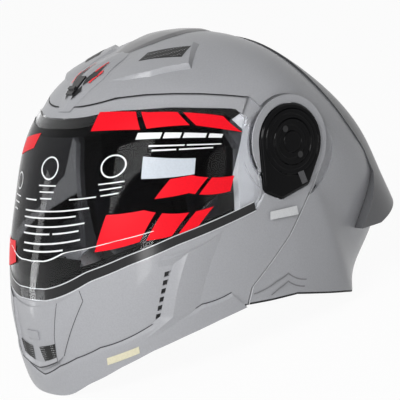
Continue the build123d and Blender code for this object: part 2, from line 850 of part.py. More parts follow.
slot_frame = side_prism(
    [
        (slot_last[0] - grille_margin, slot_last[1] - grille_margin),
        (slot_last[0] + grille_margin, slot_last[1] - grille_margin),
        (slot_first[0] + 2 * grille_margin, slot_first[1] + grille_margin),
        (slot_first[0] - grille_margin, slot_first[1] + grille_margin),
    ],
    low=0,
)
side_vent_grille = band(grille_outer_form, grille_inner_form, slot_frame)
save_pair(side_vent_grille, "side_vent_grille")

chin_trim_strip = side_prism(chin_base + [(y, z + trim_height) for y, z in chin_base[::-1]])
chin_trim = band(trim_form, chin_inner_form, chin_trim_strip)
save(chin_trim, "chin_trim")

seal_foot = [(y, z) for y, z in visor_foot[1:]]
seal_foot[0] = (face_line[-2][0] + seam_gap * 2, seal_foot[0][1])
visor_seal = band(
    chin_skin_form,
    form(chin_wall + skin_gap + seal_thickness),
    side_prism(
        [(y, z + seal_height) for y, z in seal_foot]
        + [(y, z - seal_overlap) for y, z in reversed(seal_foot)]
    ),
)
save(visor_seal, "visor_seal")

# Latch button in its housing at the bottom of the chin bar
button_y, button_z = in_side([button_place_shares])[0]
with BuildPart() as housing_room:
    with BuildSketch(plan.offset(button_z - button_height / 2 + button_travel)):
        with Locations((0, button_y)):
            Rectangle(
                button_width + 2 * slide_gap + 2 * housing_wall,
                button_depth + 2 * slide_gap + 2 * housing_wall,
            )
    extrude(amount=button_height + slide_gap + housing_wall)
liner_chin_inset = chin_wall + chin_liner_gap
with BuildPart() as latch_housing:
    add(housing_room.part)
    add(form(liner_chin_inset + skin_gap), mode=Mode.INTERSECT)
    with BuildSketch(plan.offset(button_z - button_height)):
        with Locations((0, button_y)):
            Rectangle(button_width + 2 * slide_gap, button_depth + 2 * slide_gap)
    extrude(
        amount=1.5 * button_height + button_travel + slide_gap, mode=Mode.SUBTRACT
    )
save(latch_housing.part, "latch_housing")

with BuildPart() as latch_button:
    with BuildSketch(plan.offset(button_z - button_height / 2)):
        with Locations((0, button_y)):
            RectangleRounded(button_width, button_depth, pod_edge)
    extrude(amount=button_height)
save(latch_button.part, "latch_button")

with BuildPart() as chin_bar_liner:
    add(form(liner_chin_inset))
    add(side_prism(in_side(chin_liner_shares)), mode=Mode.INTERSECT)
    add(form(liner_chin_inset + chin_liner_thickness), mode=Mode.SUBTRACT)
    with BuildSketch(plan.offset(-axis_height)):
        with Locations((0, button_y)):
            Rectangle(
                button_width + 4 * slide_gap + 2 * housing_wall,
                2 * (button_depth + chin_liner_thickness),
            )
    extrude(
        amount=axis_height + button_z + button_height / 2 + button_travel
        + 2 * slide_gap + housing_wall,
        mode=Mode.SUBTRACT,
    )
save(chin_bar_liner.part, "chin_bar_liner")

curtain_line = in_side(curtain_shares)
liner_back = form(liner_chin_inset + chin_liner_thickness + skin_gap)
chin_curtain = band(
    liner_back,
    form(liner_chin_inset + chin_liner_thickness + skin_gap + curtain_width),
    side_prism(curtain_line + [(y, z + curtain_thickness) for y, z in curtain_line[::-1]]),
)
save(chin_curtain, "chin_curtain")

guard_line = in_side(guard_shares)
breath_guard = band(
    form(chin_wall + 2 * skin_gap + seal_thickness),
    form(liner_thickness + curtain_width),
    side_prism(
        guard_line + [(y, z + guard_thickness) for y, z in guard_line[::-1]],
        low=-guard_half_width,
        high=guard_half_width,
    ),
)
save(breath_guard, "breath_guard")

# Latch: a striker on the shell each side, and a hook on the chin bar under it
hook_high = half_width - latch_inset - latch_block - 4 * skin_gap
striker_point = in_side([striker_place_shares])[0]
striker_low = hook_high - hook_thickness - skin_gap
with BuildPart() as latch_striker:
    with BuildSketch(side.offset(striker_low + striker_length)):
        with BuildLine():
            Polyline(*in_side(striker_arm_shares), close=True)
        make_face()
    extrude(amount=striker_plate)
    with BuildSketch(side.offset(striker_low + striker_length)):
        with BuildLine():
            Polyline(*in_side(striker_foot_shares), close=True)
        make_face()
    extrude(amount=overrun)
    add(liner_form, mode=Mode.INTERSECT)
    with BuildSketch(side.offset(striker_low)):
        with Locations(striker_point):
            Circle(striker_radius)
    extrude(amount=striker_length)
save_pair(latch_striker.part, "latch_striker")

hook_point = in_side([hook_place_shares])[0]
with BuildPart() as latch_base:
    with BuildSketch(side.offset(hook_high + skin_gap)):
        with Locations(hook_point):
            Rectangle(2 * latch_block, 2 * latch_block)
    extrude(amount=overrun)
    add(chin_skin_form, mode=Mode.INTERSECT)
    with BuildSketch(side.offset(hook_high + skin_gap)):
        with Locations(hook_point):
            Circle(hook_pin_radius)
    extrude(amount=-hook_thickness - 2 * skin_gap)
save_pair(latch_base.part, "latch_base")

with BuildPart() as latch_hook:
    with BuildSketch(side.offset(hook_high)):
        with BuildLine():
            Polyline(*in_side(hook_shares), close=True)
        make_face()
        with Locations(hook_point):
            Circle(hook_rim)
            Circle(hook_pin_radius + running_gap, mode=Mode.SUBTRACT)
    extrude(amount=-hook_thickness)
save_pair(latch_hook.part, "latch_hook")

# Visor, its film and its toothed ears on the hubs
visor_outline = side_prism(
    in_side(visor_top_shares) + [(0, 0)] + in_side(visor_heel_shares) + visor_foot
)
with BuildPart() as visor_shield:
    add(paint_form)
    add(visor_outline, mode=Mode.INTERSECT)
    add(visor_form, mode=Mode.SUBTRACT)
    for toward in (1, -1):
        with BuildSketch(side.offset(toward * ear_top)):
            Circle(neck_radius)
        extrude(amount=toward * overrun, mode=Mode.SUBTRACT)
        with BuildSketch(side.offset(toward * ear_face)):
            Circle(neck_radius)
            with BuildLine():
                Polyline(
                    *in_side(visor_top_shares), (0, 0), *in_side(visor_heel_shares),
                    *visor_foot, close=True,
                )
            make_face(mode=Mode.INTERSECT)
            Circle(ear_radius)
        extrude(amount=toward * visor_wall)
        with BuildSketch(side.offset(toward * (pivot_face - layer_gap))):
            Circle(hub_radius + 2 * running_gap)
        extrude(amount=toward * overrun, mode=Mode.SUBTRACT)
save(visor_shield.part, "visor_shield")

visor_film = band(
    form(-film_gap - film_thickness), form(-film_gap), side_prism(in_side(film_shares))
)
save(visor_film, "visor_film")

# Chin strap: an anchor riveted through the foam each side, webbing and a buckle
with BuildPart() as strap_anchor:
    with BuildSketch(side.offset(strap_x)):
        with Locations((anchor_y, anchor_z - anchor_radius)):
            Rectangle(2 * anchor_radius, 2 * anchor_radius)
        with Locations((anchor_y, anchor_z)):
            Circle(anchor_radius)
    extrude(amount=anchor_plate)
    with BuildSketch(side.offset(strap_x)):
        with Locations((anchor_y, anchor_z)):
            Circle(rivet_radius)
    extrude(amount=half_width)
    add(form(shell_wall + skin_gap), mode=Mode.INTERSECT)
    with BuildSketch(side.offset(strap_x)):
        with Locations((anchor_y, anchor_z)):
            Circle(1.5 * rivet_radius)
    extrude(amount=-strap_thickness)
save_pair(strap_anchor.part, "strap_anchor")

strap_end = buckle_reach + 2 * skin_gap
strap_mid_z, strap_low_z, buckle_z = (share * reach for share in strap_fall_shares)
strap_top_z = anchor_z - 2 * rivet_radius
across = Plane(
    origin=(0, axis_y + anchor_y - strap_width / 2, axis_height),
    x_dir=(1, 0, 0),
    z_dir=(0, -1, 0),
)
strap_middle = strap_x - strap_thickness / 2
with BuildPart() as strap:
    with BuildSketch(across):
        with BuildLine():
            FilletPolyline(
                (strap_middle, strap_top_z),
                (strap_middle, strap_mid_z),
                ((strap_middle + strap_end) / 2, strap_low_z),
                (strap_end, buckle_z),
                radius=strap_width / 2,
            )
        trace(line_width=strap_thickness)
    extrude(amount=-strap_width)
save_pair(strap.part, "strap")

buckle = Plane(
    origin=(buckle_reach, axis_y + anchor_y, axis_height + buckle_z), x_dir=(-1, 0, 0),
    z_dir=(0, 0, 1),
)
well_width = buckle_width - 2 * buckle_wall
tongue_room = tongue_thickness / 2 + slide_gap
lever_low = buckle_height / 2 - lever_thickness - skin_gap
pin_place = buckle_wall + 2 * skin_gap + 2 * lever_pin_radius
pin_height = lever_low + lever_thickness / 2
tongue_start = buckle_reach - (tongue_length - buckle_reach)
lever_pin = Plane(
    origin=(
        buckle_reach - pin_place, axis_y + anchor_y - buckle_width / 2,
        axis_height + buckle_z + pin_height,
    ),
    x_dir=(1, 0, 0),
    z_dir=(0, 1, 0),
)
with BuildPart() as buckle_body:
    with BuildSketch(buckle.offset(-buckle_height / 2)):
        with Locations((buckle_length / 2, 0)):
            Rectangle(buckle_length, buckle_width)
    extrude(amount=buckle_height)
    fillet(buckle_body.edges().filter_by(Axis.X), radius=buckle_edge)
    with BuildSketch(buckle.offset(-tongue_room)):
        with Locations((tongue_start - slide_gap, 0)):
            Rectangle(
                buckle_length, tongue_width + 2 * slide_gap, align=(Align.MIN, Align.CENTER)
            )
    extrude(amount=2 * tongue_room, mode=Mode.SUBTRACT)
    with BuildSketch(buckle.offset(tongue_room)):
        with Locations((pin_place - lever_pin_radius - skin_gap, 0)):
            Rectangle(buckle_length, well_width, align=(Align.MIN, Align.CENTER))
    extrude(amount=buckle_height, mode=Mode.SUBTRACT)
    with BuildSketch(lever_pin):
        Circle(lever_pin_radius + running_gap)
    extrude(amount=buckle_width, mode=Mode.SUBTRACT)
save(buckle_body.part, "buckle_body")

with BuildPart() as buckle_lever:
    with BuildSketch(buckle.offset(lever_low)):
        with Locations((pin_place, 0)):
            Rectangle(
                lever_length, well_width - 2 * slide_gap, align=(Align.MIN, Align.CENTER)
            )
    extrude(amount=lever_thickness)
    with BuildSketch(lever_pin):
        Circle(lever_pin_radius)
    extrude(amount=buckle_width)
save(buckle_lever.part, "buckle_lever")

with BuildPart() as strap_tongue:
    with BuildSketch(buckle.offset(-tongue_thickness / 2)):
        with Locations((tongue_start, 0)):
            Rectangle(tongue_length, tongue_width, align=(Align.MIN, Align.CENTER))
    extrude(amount=tongue_thickness)
    with BuildSketch(buckle.offset(tongue_thickness / 2)):
        for number in range(tooth_count):
            with Locations((tongue_start + (number + 1) * tooth_pitch, 0)):
                Rectangle(tooth_pitch / 2, tongue_width)
    extrude(amount=-tooth_depth, mode=Mode.SUBTRACT)
save(strap_tongue.part, "strap_tongue")
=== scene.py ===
"""The looks of a flip-up motorcycle helmet, laid out as an add-on and run as a script."""

import json
import math

import bmesh
import bpy
import numpy as np
from mathutils import Matrix, Vector


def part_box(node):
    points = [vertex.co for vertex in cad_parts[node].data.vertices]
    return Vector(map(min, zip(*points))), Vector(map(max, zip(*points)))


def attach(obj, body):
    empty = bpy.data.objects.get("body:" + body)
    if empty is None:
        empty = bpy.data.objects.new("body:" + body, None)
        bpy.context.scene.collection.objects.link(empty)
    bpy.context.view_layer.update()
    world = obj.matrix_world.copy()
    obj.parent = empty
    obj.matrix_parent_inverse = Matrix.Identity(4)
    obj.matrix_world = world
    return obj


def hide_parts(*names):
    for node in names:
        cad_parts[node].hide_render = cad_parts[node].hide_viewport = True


bl_info = {
    "name": "Flip-up helmet",
    "version": (1, 0, 0),
    "blender": (4, 5, 0),
    "location": "View3D > Sidebar > Helmet",
    "description": "Builds the painted skins, print, padding and light of a flip-up helmet",
    "category": "Object",
}

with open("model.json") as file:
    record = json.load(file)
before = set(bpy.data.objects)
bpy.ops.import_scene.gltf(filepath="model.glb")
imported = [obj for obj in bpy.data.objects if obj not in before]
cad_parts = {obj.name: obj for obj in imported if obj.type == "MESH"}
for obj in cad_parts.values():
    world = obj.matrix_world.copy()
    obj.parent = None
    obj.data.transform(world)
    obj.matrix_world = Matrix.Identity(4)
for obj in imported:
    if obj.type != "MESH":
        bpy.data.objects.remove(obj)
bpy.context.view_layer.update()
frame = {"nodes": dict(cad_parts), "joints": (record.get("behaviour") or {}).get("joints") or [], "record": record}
MM = 0.001
MIRROR = np.array([-1, 1, 1])
TINY = 1e-9
HUB = np.array(next(j["pos_m"] for j in frame["joints"] if j["name"] == "chin_lift"))

# The form is cut flat at each side, this far short of its full half width
CAP = 1.5 * MM
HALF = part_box("outer_shell")[1].x + CAP
REACH = 0.2
NEWTON_STEPS = 14

# Corners of neighbouring grids nearer than this become one
JOIN_WITHIN = 0.02 * MM

# The painted form about the hub axis: knots along the angle from straight forward (-Y)
# upwards, its profile at each in shares of the reach, and how square it is there
FIRST_KNOT = -75
KNOT_STEP = 15
PROFILE_SHARES = (
    1.62, 1.52, 1.325, 1.142, 0.952, 0.807, 0.728, 0.653,
    0.584, 0.5175, 0.4815, 0.464, 0.453, 0.4445, 0.443, 0.459,
    0.503, 0.5815, 0.695, 0.82, 0.895, 0.925, 1.12, 1.44,
)
DEPTH_POWERS = (
    2.0, 2.05, 2.1, 2.1, 2.1, 2.1, 2.1, 2.1,
    2.15, 2.25, 2.3, 2.35, 2.35, 2.35, 2.3, 2.25,
    2.2, 2.15, 2.1, 2.05, 2.0, 2.0, 2.0, 2.0,
)
WIDTH_POWERS = (
    3.0, 2.7, 2.4, 2.25, 2.2, 2.2, 2.2, 2.2,
    2.15, 2.1, 2.05, 2.05, 2.05, 2.05, 2.05, 2.07,
    2.1, 2.15, 2.18, 2.3, 2.1, 2.1, 3.2, 3.0,
)

# Side-view lines about the hub axis, (backwards, upwards) in millimetres, and how often a
# line's points are averaged with their neighbours
SEAM_LINE = [
    (25, -28.5), (7, -45), (-7, -58), (-21, -71), (-45, -87), (-64, -99), (-71, -112),
]
CHIN_BASE = [(-72, -112), (-95, -114), (-124, -118), (-148, -122.5), (-169, -130),
             (-187, -140.5), (-193, -149), (-194.5, -151.6), (-260, -151.6)]
VISOR_FOOT = [(-47, -42), (-80, -45), (-114, -48), (-148, -54), (-171, -60.6),
              (-194, -75.6), (-260, -78)]
SIDE_SMOOTH = 12


def knot_value(shares, angle):
    """The periodic Catmull-Rom curve through the knots, at angles in degrees."""
    place = (np.asarray(angle, float) - FIRST_KNOT) / KNOT_STEP
    knot = np.floor(place).astype(int)
    part = place - knot
    table = np.asarray(shares, float)
    a, b, c, d = (table[(knot + n) % len(table)] for n in (-1, 0, 1, 2))
    bend = 2 * a - 5 * b + 4 * c - d + part * (3 * (b - c) + d - a)
    return b + part / 2 * (c - a + part * bend)


def form_facts(angle, lift=0.0):
    """Reach, half width and both powers of the form, raised by lift, at an angle."""
    full = knot_value(PROFILE_SHARES, angle) * REACH + lift
    return full, HALF + lift, knot_value(DEPTH_POWERS, angle), knot_value(WIDTH_POWERS, angle)


def polar(flat):
    """Distance from the hub axis of side-view points, and their angle about it."""
    return (np.hypot(flat[..., 0], flat[..., 1]),
            np.degrees(np.arctan2(flat[..., 1], -flat[..., 0])))


def to_form(points, lift=0.0):
    """Moves points along rays from the hub's middle to |x/half|^q + (r/full)^p = 1, by
    Newton's method on each ray's factor."""
    rays = np.asarray(points, float)
    radial, angle = polar(rays[..., 1:])
    full, half, p, q = form_facts(angle, lift)
    side, deep = np.abs(rays[..., 0]) / half, radial / full
    k = 1 / np.maximum(np.maximum(side, deep), TINY)
    for _ in range(NEWTON_STEPS):
        a, b = (k * side) ** q, (k * deep) ** p
        k = k - (a + b - 1) * k / (q * a + p * b)
    return rays * k[..., None]


def side_x(flat, lift=0.0, narrow=0.0, cap=0.0):
    """Half width of the form over side-view points: half * (1 - (r/full)^p)^(1/q), where
    half is narrowed, and no more than what its flat cap leaves."""
    radial, angle = polar(flat)
    full, half, p, q = form_facts(angle, lift)
    share = np.clip(radial / full, 0, 1)
    return np.minimum((half - narrow) * (1 - share**p) ** (1 / q), half - narrow - cap)


def from_side(points, lift=0.0):
    """Side-view points in metres to points on the form, on the wearer's left."""
    points = np.asarray(points, float)
    radial, angle = polar(points)
    full = form_facts(angle, lift)[0]
    shrink = np.where(radial > full, full / np.maximum(radial, TINY), 1)
    return np.concatenate([side_x(points, lift)[..., None], points * shrink[..., None]], -1)


def on_form(turn, angle, lift=0.0, narrow=0.0, cap=0.0):
    """The form at a turn from its middle (0) to its side (90 degrees) and an angle:
    x is half * sin(turn)^(2/q), up to its cap, and the distance from the axis is
    full * cos(turn)^(2/p)."""
    turn, angle = np.radians(np.asarray(turn, float)), np.asarray(angle, float)
    full, half, p, q = form_facts(angle, lift)
    half = half - narrow
    x = np.sign(turn) * np.minimum(half * np.abs(np.sin(turn)) ** (2 / q), half - cap)
    r = full * np.cos(turn) ** (2 / p)
    a = np.radians(angle)
    return np.stack([x + 0 * r, -r * np.cos(a), r * np.sin(a)], -1)


def length_to(line):
    """Distance along a polyline to each of its points."""
    return np.concatenate([[0], np.cumsum(np.linalg.norm(np.diff(line, axis=0), axis=1))])


def along(line, shares):
    """Points of a polyline at shares of its length."""
    line = np.asarray(line, float)
    places = length_to(line)
    return np.stack([np.interp(shares, places / places[-1], column) for column in line.T], -1)


def resample(line, count):
    """A polyline with evenly spaced points."""
    return along(line, np.linspace(0, 1, count))


def dense(line, step=1.0):
    """A polyline with a point about every step, in the line's own units."""
    return resample(line, max(2, int(length_to(line)[-1] / step)))


def spread(line, parts):
    """A polyline with each of its runs cut into equal parts."""
    line = np.asarray(line, float)
    number = np.arange(len(line))
    at = np.linspace(0, number[-1], number[-1] * parts + 1)
    return np.stack([np.interp(at, number, column) for column in line.T], -1)


def smoothed(line, times):
    """A dense line whose inner points are averaged with their neighbours."""
    line = np.array(line, float)
    for _ in range(times):
        line[1:-1] = (line[:-2] + 2 * line[1:-1] + line[2:]) / 4
    return line


def moved(line, back, up):
    """A side-view line moved backwards and upwards."""
    return [(y + back, z + up) for y, z in line]


def side_curve(line, count, lift=0.0, smooth=SIDE_SMOOTH, narrow=0.0):
    """A side-view polyline in millimetres as evenly spaced points on the form, drawn in
    sideways by narrow at its widest, and ending at x = 0 where it leaves the form."""
    flat = smoothed(dense(line), smooth) * MM
    radial, angle = polar(flat)
    within = np.flatnonzero(radial < form_facts(angle, lift)[0])
    points = from_side(flat[within[0]:within[-1] + 1], lift)
    if within[0] > 0:
        points[0, 0] = 0
    if within[-1] < len(flat) - 1:
        points[-1, 0] = 0
    points[:, 0] *= 1 - narrow / points[:, 0].max()
    return resample(points, count)


def rows_between(low, high, rows):
    """A net of straight rows between two lines that have as many points each."""
    v = np.linspace(0, 1, rows)[None, :, None]
    return (1 - v) * low[:, None] + v * high[:, None]


def net(lower, upper, parts, rows):
    """Rows between two polylines whose runs are cut into equal parts."""
    return rows_between(spread(lower, parts), spread(upper, parts), rows)


def slope(lower, upper, parts, rows, rise=0.0):
    """A net between two lines of (turn, angle, height in mm), raised, on the form."""
    flat = net(lower, upper, parts, rows)
    return on_form(flat[..., 0], flat[..., 1], (flat[..., 2] + rise) * MM)


def mirrored(grids):
    """The same grids on the wearer's right."""
    return [grid * MIRROR for grid in grids]


def both(grids):
    """Grids of the wearer's left, and of the right after them."""
    return [*grids, *mirrored(grids)]


def both_sides(half):
    """A grid whose first row lies at x = 0, joined to its mirror image."""
    return np.concatenate([half[:0:-1] * MIRROR, half])


def step_up(value):
    """0 below 0, 1 above 1, and a smooth step between."""
    value = np.clip(value, 0, 1)
    return value * value * (3 - 2 * value)


def bells(value, places, wide):
    """The sum of narrow bell curves at some places."""
    return sum(np.exp(-(((value - place) / wide) ** 2)) for place in places)


def cells_of(grid):
    """The quads of a grid as corner numbers, in the order that faces away from the hub."""
    number = np.arange(grid[..., 0].size).reshape(grid.shape[:2])
    corners = number[:-1, :-1], number[1:, :-1], number[1:, 1:], number[:-1, 1:]
    cells = np.stack(corners, -1).reshape(-1, 4)
    a, b, c, d = grid.reshape(-1, 3)[cells].swapaxes(0, 1)
    return cells if (np.cross(c - a, d - b) * a).sum() >= 0 else cells[:, ::-1]


def placed(name, data):
    """A new object in the scene."""
    thing = bpy.data.objects.new(name, data)
    bpy.context.scene.collection.objects.link(thing)
    return thing


def nets_piece(name, grids, body, finish_name, stands_for=None, sharp=None, closed=False):
    """One mesh over several grids about the hub, joined where they meet, which may stand
    for a node. Its faces point away from the hub, and those of a closed piece outwards;
    edges sharper than an angle in degrees stay sharp."""
    points, quads = np.empty((0, 3)), []
    for grid in grids:
        quads += (cells_of(grid) + len(points)).tolist()
        points = np.concatenate([points, grid.reshape(-1, 3)])
    mesh = bpy.data.meshes.new(name)
    mesh.from_pydata((points + HUB).tolist(), [], quads)
    work = bmesh.new()
    work.from_mesh(mesh)
    bmesh.ops.remove_doubles(work, verts=work.verts, dist=JOIN_WITHIN)
    if closed:
        bmesh.ops.recalc_face_normals(work, faces=work.faces)
    work.to_mesh(mesh)
    work.free()
    mesh.polygons.foreach_set("use_smooth", np.ones(len(mesh.polygons), bool))
    if sharp:
        mesh.set_sharp_from_angle(angle=math.radians(sharp))
    mesh.update()
    mesh.materials.append(mat(finish_name))
    piece = placed(name, mesh)
    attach(piece, body)
    if stands_for:
        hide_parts(stands_for)
    return piece


def pair_of(name, grids, body, finish_name, stands_for=None, **more):
    """A piece of the wearer's left and its mirror image on the right, which may stand for
    the node of their side."""
    return [
        nets_piece(f"{name}_{side}", side_grids, body, finish_name,
                   stands_for and f"{stands_for}_{side}", **more)
        for side, side_grids in (("left", grids), ("right", mirrored(grids)))]


def thicken(piece, wall):
    """Gives a sheet its wall, inwards from its outer face."""
    solid = piece.modifiers.new("wall", "SOLIDIFY")
    solid.thickness = wall
    solid.offset = -1


def feed(tree, node, feeds):
    """Gives a node's inputs their values, or links from outputs or a node's first output."""
    for name, value in feeds.items():
        if isinstance(value, bpy.types.Node):
            value = value.outputs[0]
        if isinstance(value, bpy.types.NodeSocket):
            tree.links.new(value, node.inputs[name])
        else:
            node.inputs[name].default_value = value


def add_node(tree, kind, feeds=None, operation=None):
    """A shader node with its operation and inputs."""
    node = tree.nodes.new(f"ShaderNode{kind}")
    if operation:
        node.operation = operation
    feed(tree, node, feeds or {})
    return node


def new_material(name):
    """A material, its node tree, its shader, and the output that the shader feeds."""
    material = bpy.data.materials.new(name)
    material.use_nodes = True
    tree = material.node_tree
    tree.nodes.clear()
    shader = add_node(tree, "BsdfPrincipled")
    output = add_node(tree, "OutputMaterial", {"Surface": shader})
    return material, tree, shader, output


# Speckle: the noise's detail, the part of its range that is stretched over the whole
# amount, and the strength of its bumps
NOISE_DETAIL = 4
NOISE_LOW, NOISE_HIGH = 0.3, 0.7
BUMP_STRENGTH = 0.6


def speckle_group():
    """Fine noise on object coordinates: a value from 1 - amount to 1 + amount, and the
    noise itself as a height for bumps."""
    if "speckle" in bpy.data.node_groups:
        return bpy.data.node_groups["speckle"]
    group = bpy.data.node_groups.new("speckle", "ShaderNodeTree")
    for way, names in (("INPUT", ("Scale", "Amount")), ("OUTPUT", ("Value", "Height"))):
        for name in names:
            group.interface.new_socket(name, in_out=way, socket_type="NodeSocketFloat")
    start = group.nodes.new("NodeGroupInput")
    end = group.nodes.new("NodeGroupOutput")
    place = add_node(group, "TexCoord")
    noise = add_node(group, "TexNoise", {
        "Vector": place.outputs["Object"], "Scale": start, "Detail": NOISE_DETAIL})
    low, high = (add_node(group, "Math", {0: 1, 1: start.outputs["Amount"]}, operation)
                 for operation in ("SUBTRACT", "ADD"))
    stretch = add_node(group, "MapRange", {
        "Value": noise, "From Min": NOISE_LOW, "From Max": NOISE_HIGH,
        "To Min": low, "To Max": high})
    feed(group, end, {"Value": stretch, "Height": noise})
    return group


def finish(name, colour, rough, grain, amount, bump=0.0, coat=0.0, coat_rough=0.05, metal=0.0,
           sheen=0.0, specular=0.5):
    """A moulded, painted or metal surface: its colour and roughness are multiplied by the
    speckle's value, and its bump follows the speckle's height."""
    material, tree, shader, _ = new_material(name)
    group = add_node(tree, "Group")
    group.node_tree = speckle_group()
    feed(tree, group, {"Scale": grain, "Amount": amount})
    tint = add_node(tree, "VectorMath", {0: tuple(colour), "Scale": group}, "SCALE")
    roughness = add_node(tree, "Math", {0: rough, 1: group}, "MULTIPLY")
    feed(tree, shader, {
        "Base Color": tint, "Roughness": roughness,
        "Metallic": metal, "Coat Weight": coat, "Coat Roughness": coat_rough,
        "Sheen Weight": sheen, "Specular IOR Level": specular})
    if bump:
        lump = add_node(tree, "Bump", {
            "Strength": BUMP_STRENGTH, "Distance": bump, "Height": group.outputs["Height"]})
        feed(tree, shader, {"Normal": lump})
    return material


# Vent net: cells about 1.8 mm wide, pale up to one share of a cell and dark from the next
NET_SCALE = 0.55 / MM
NET_UNEVEN = 0.1
NET_STOPS = ((0.14, (0.35, 0.35, 0.36, 1)), (0.34, (0.008, 0.008, 0.008, 1)))
NET_RISE = 0.2 * MM


def net_finish(name):
    """A moulded net: the distance from the middles of nearly even cells sets the colour,
    pale on the knots and dark between them, and the knots' height."""
    material, tree, shader, _ = new_material(name)
    place = add_node(tree, "TexCoord")
    knots = add_node(tree, "TexVoronoi", {
        "Vector": place.outputs["Object"], "Scale": NET_SCALE, "Randomness": NET_UNEVEN})
    ramp = add_node(tree, "ValToRGB", {"Fac": knots})
    for stop, (position, colour) in zip(ramp.color_ramp.elements, NET_STOPS):
        stop.position = position
        stop.color = colour
    lump = add_node(tree, "Bump", {"Distance": NET_RISE, "Height": knots})
    lump.invert = True
    feed(tree, shader, {
        "Base Color": ramp, "Normal": lump, "Roughness": 0.5, "Specular IOR Level": 0.25})
    return material


def clear_finish(name, colour, rough, ior):
    """Clear plastic that lamps shine through: it is transparent to shadow rays."""
    material, tree, shader, output = new_material(name)
    feed(tree, shader, {
        "Base Color": (*colour, 1), "Roughness": rough, "IOR": ior, "Transmission Weight": 1})
    path = add_node(tree, "LightPath")
    clear = add_node(tree, "BsdfTransparent")
    mix = add_node(tree, "MixShader", {0: path.outputs["Is Shadow Ray"], 1: shader, 2: clear})
    feed(tree, output, {"Surface": mix})
    return material


def colour_property(name, description, default):
    """A colour in linear light that a user may change."""
    return bpy.props.FloatVectorProperty(
        name=name, description=description, subtype="COLOR", size=3, default=default,
        min=0, max=1)


class HelmetColours(bpy.types.PropertyGroup):
    """Colours that a user would change, in linear light."""

    paint: colour_property("Paint", "Shell and chin bar", (0.375, 0.38, 0.40))
    # The rear wing's colour is the shell paint darkened as painted shade
    wing: colour_property("Wing", "Rear wing", (0.12375, 0.1254, 0.132))
    # A darker grey than the shell, for the crown spine
    dark: colour_property("Dark paint", "Crown spine", (0.11, 0.11, 0.115))
    red: colour_property("Red", "Slider, button and print", (0.9, 0.008, 0.02))
    black: colour_property("Black", "Mouldings and rubber", (0.012, 0.012, 0.013))
    lining: colour_property("Lining", "Pads and neck roll", (0.022, 0.022, 0.028))


def size_property(name, description, default, least, most):
    """A length that a user may change."""
    return bpy.props.FloatProperty(
        name=name, description=description, subtype="DISTANCE", unit="LENGTH",
        default=default, min=least, max=most)


class HelmetSizes(bpy.types.PropertyGroup):
    """Sizes that a user would change."""

    brow_wall: size_property("Brow wall", "Thickness of the brow band", 1 * MM, 0.5 * MM, 3 * MM)
    curtain: size_property("Curtain", "Thickness of the chin curtain", 1 * MM, 0.5 * MM, 2 * MM)
    strap_wide: size_property("Strap width", "Width of the webbing", 20 * MM, 15 * MM, 25 * MM)
    strap_thick: size_property(
        "Strap thickness", "Thickness of the webbing", 1.6 * MM, 1 * MM, 3 * MM)
    lens: bpy.props.FloatProperty(
        name="Lens", description="Focal length in mm on a 36 mm sensor", default=175.8,
        min=20, max=400)


# Finishes: a colour of the helmet's or a plain one, its roughness, the speckle's scale and
# amount, and what else it has
FINISHES = {
    "shell_paint": ("paint", 0.42, 900, 0.05, dict(coat=0.2, coat_rough=0.08, specular=0.2)),
    # The shell paint darkened, painting the shade on the rear wing
    "spoiler_paint": ("wing", 0.42, 900, 0.05, dict(coat=0.2, coat_rough=0.08, specular=0.15)),
    "dark_paint": ("dark", 0.35, 900, 0.05, dict(coat=0.4, specular=0.3)),
    # A black darker and duller than the others, painting the shade on parts inside the helmet
    "deep_black": ((0.003, 0.003, 0.003), 0.6, 400, 0.1, dict(specular=0.06)),
    "vent_mesh": ("black", 0.6, 700, 0.3, dict(bump=0.2 * MM)),
    "red_plastic": ("red", 0.35, 500, 0.06, {}),
    "black_plastic": ("black", 0.45, 800, 0.1, dict(bump=0.05 * MM, specular=0.3)),
    "rubber": ("black", 0.6, 400, 0.12, dict(bump=0.05 * MM, specular=0.25)),
    "foam": ((0.02, 0.02, 0.02), 0.85, 250, 0.3, dict(bump=0.5 * MM, specular=0.2)),
    "lining": ("lining", 0.9, 700, 0.35, dict(bump=0.5 * MM, sheen=0.15, specular=0.2)),
    "webbing": ("black", 0.8, 900, 0.3, dict(bump=0.3 * MM)),
    "steel": ((0.5, 0.5, 0.52), 0.3, 500, 0.1, dict(metal=1.0)),
    "pod_gloss": ((0.003, 0.003, 0.0035), 0.14, 300, 0.04, dict(specular=0.07)),
    "black_gloss": ("black", 0.2, 400, 0.05, dict(specular=0.3)),
    # A pale gloss grey that paints highlights along edges
    "edge_bright": ((0.62, 0.63, 0.65), 0.15, 400, 0.05, {}),
    # A mid grey painted along fine creases as their shade
    "soft_crease": ((0.2, 0.2, 0.21), 0.5, 400, 0.1, {}),
    # A dark grey painted along the chin's creases as their shade
    "crease": ((0.07, 0.07, 0.075), 0.6, 400, 0.1, dict(specular=0.1)),
    "tab_grey": ((0.09, 0.09, 0.095), 0.5, 900, 0.25, dict(bump=0.1 * MM, specular=0.2)),
    "print_red": ("red", 0.4, 700, 0.04, dict(specular=0.1)),
    "print_white": ((0.85, 0.86, 0.87), 0.35, 700, 0.03, {}),
    "print_paper": ((0.66, 0.67, 0.68), 0.5, 700, 0.05, dict(specular=0.2)),
    "print_pale": ((0.72, 0.68, 0.5), 0.4, 700, 0.05, dict(specular=0.2)),
    "print_label": ((0.55, 0.6, 0.66), 0.4, 700, 0.05, {}),
}

# Clear plastics: colour, roughness and index of refraction
CLEAR_FINISHES = {
    "visor_clear": ((0.9, 0.91, 0.92), 0.0, 1.17),
    "film": ((0.15, 0.15, 0.155), 0.02, 1.12),
}
MATERIALS = {}


def mat(name):
    """A finish of this helmet, made once."""
    if name not in MATERIALS:
        if name == "vent_weave":
            MATERIALS[name] = net_finish(name)
        elif name in CLEAR_FINISHES:
            MATERIALS[name] = clear_finish(name, *CLEAR_FINISHES[name])
        else:
            colour, *values, more = FINISHES[name]
            if isinstance(colour, str):
                colour = getattr(bpy.context.scene.helmet_colours, colour)
            MATERIALS[name] = finish(name, colour, *values, **more)
    return MATERIALS[name]


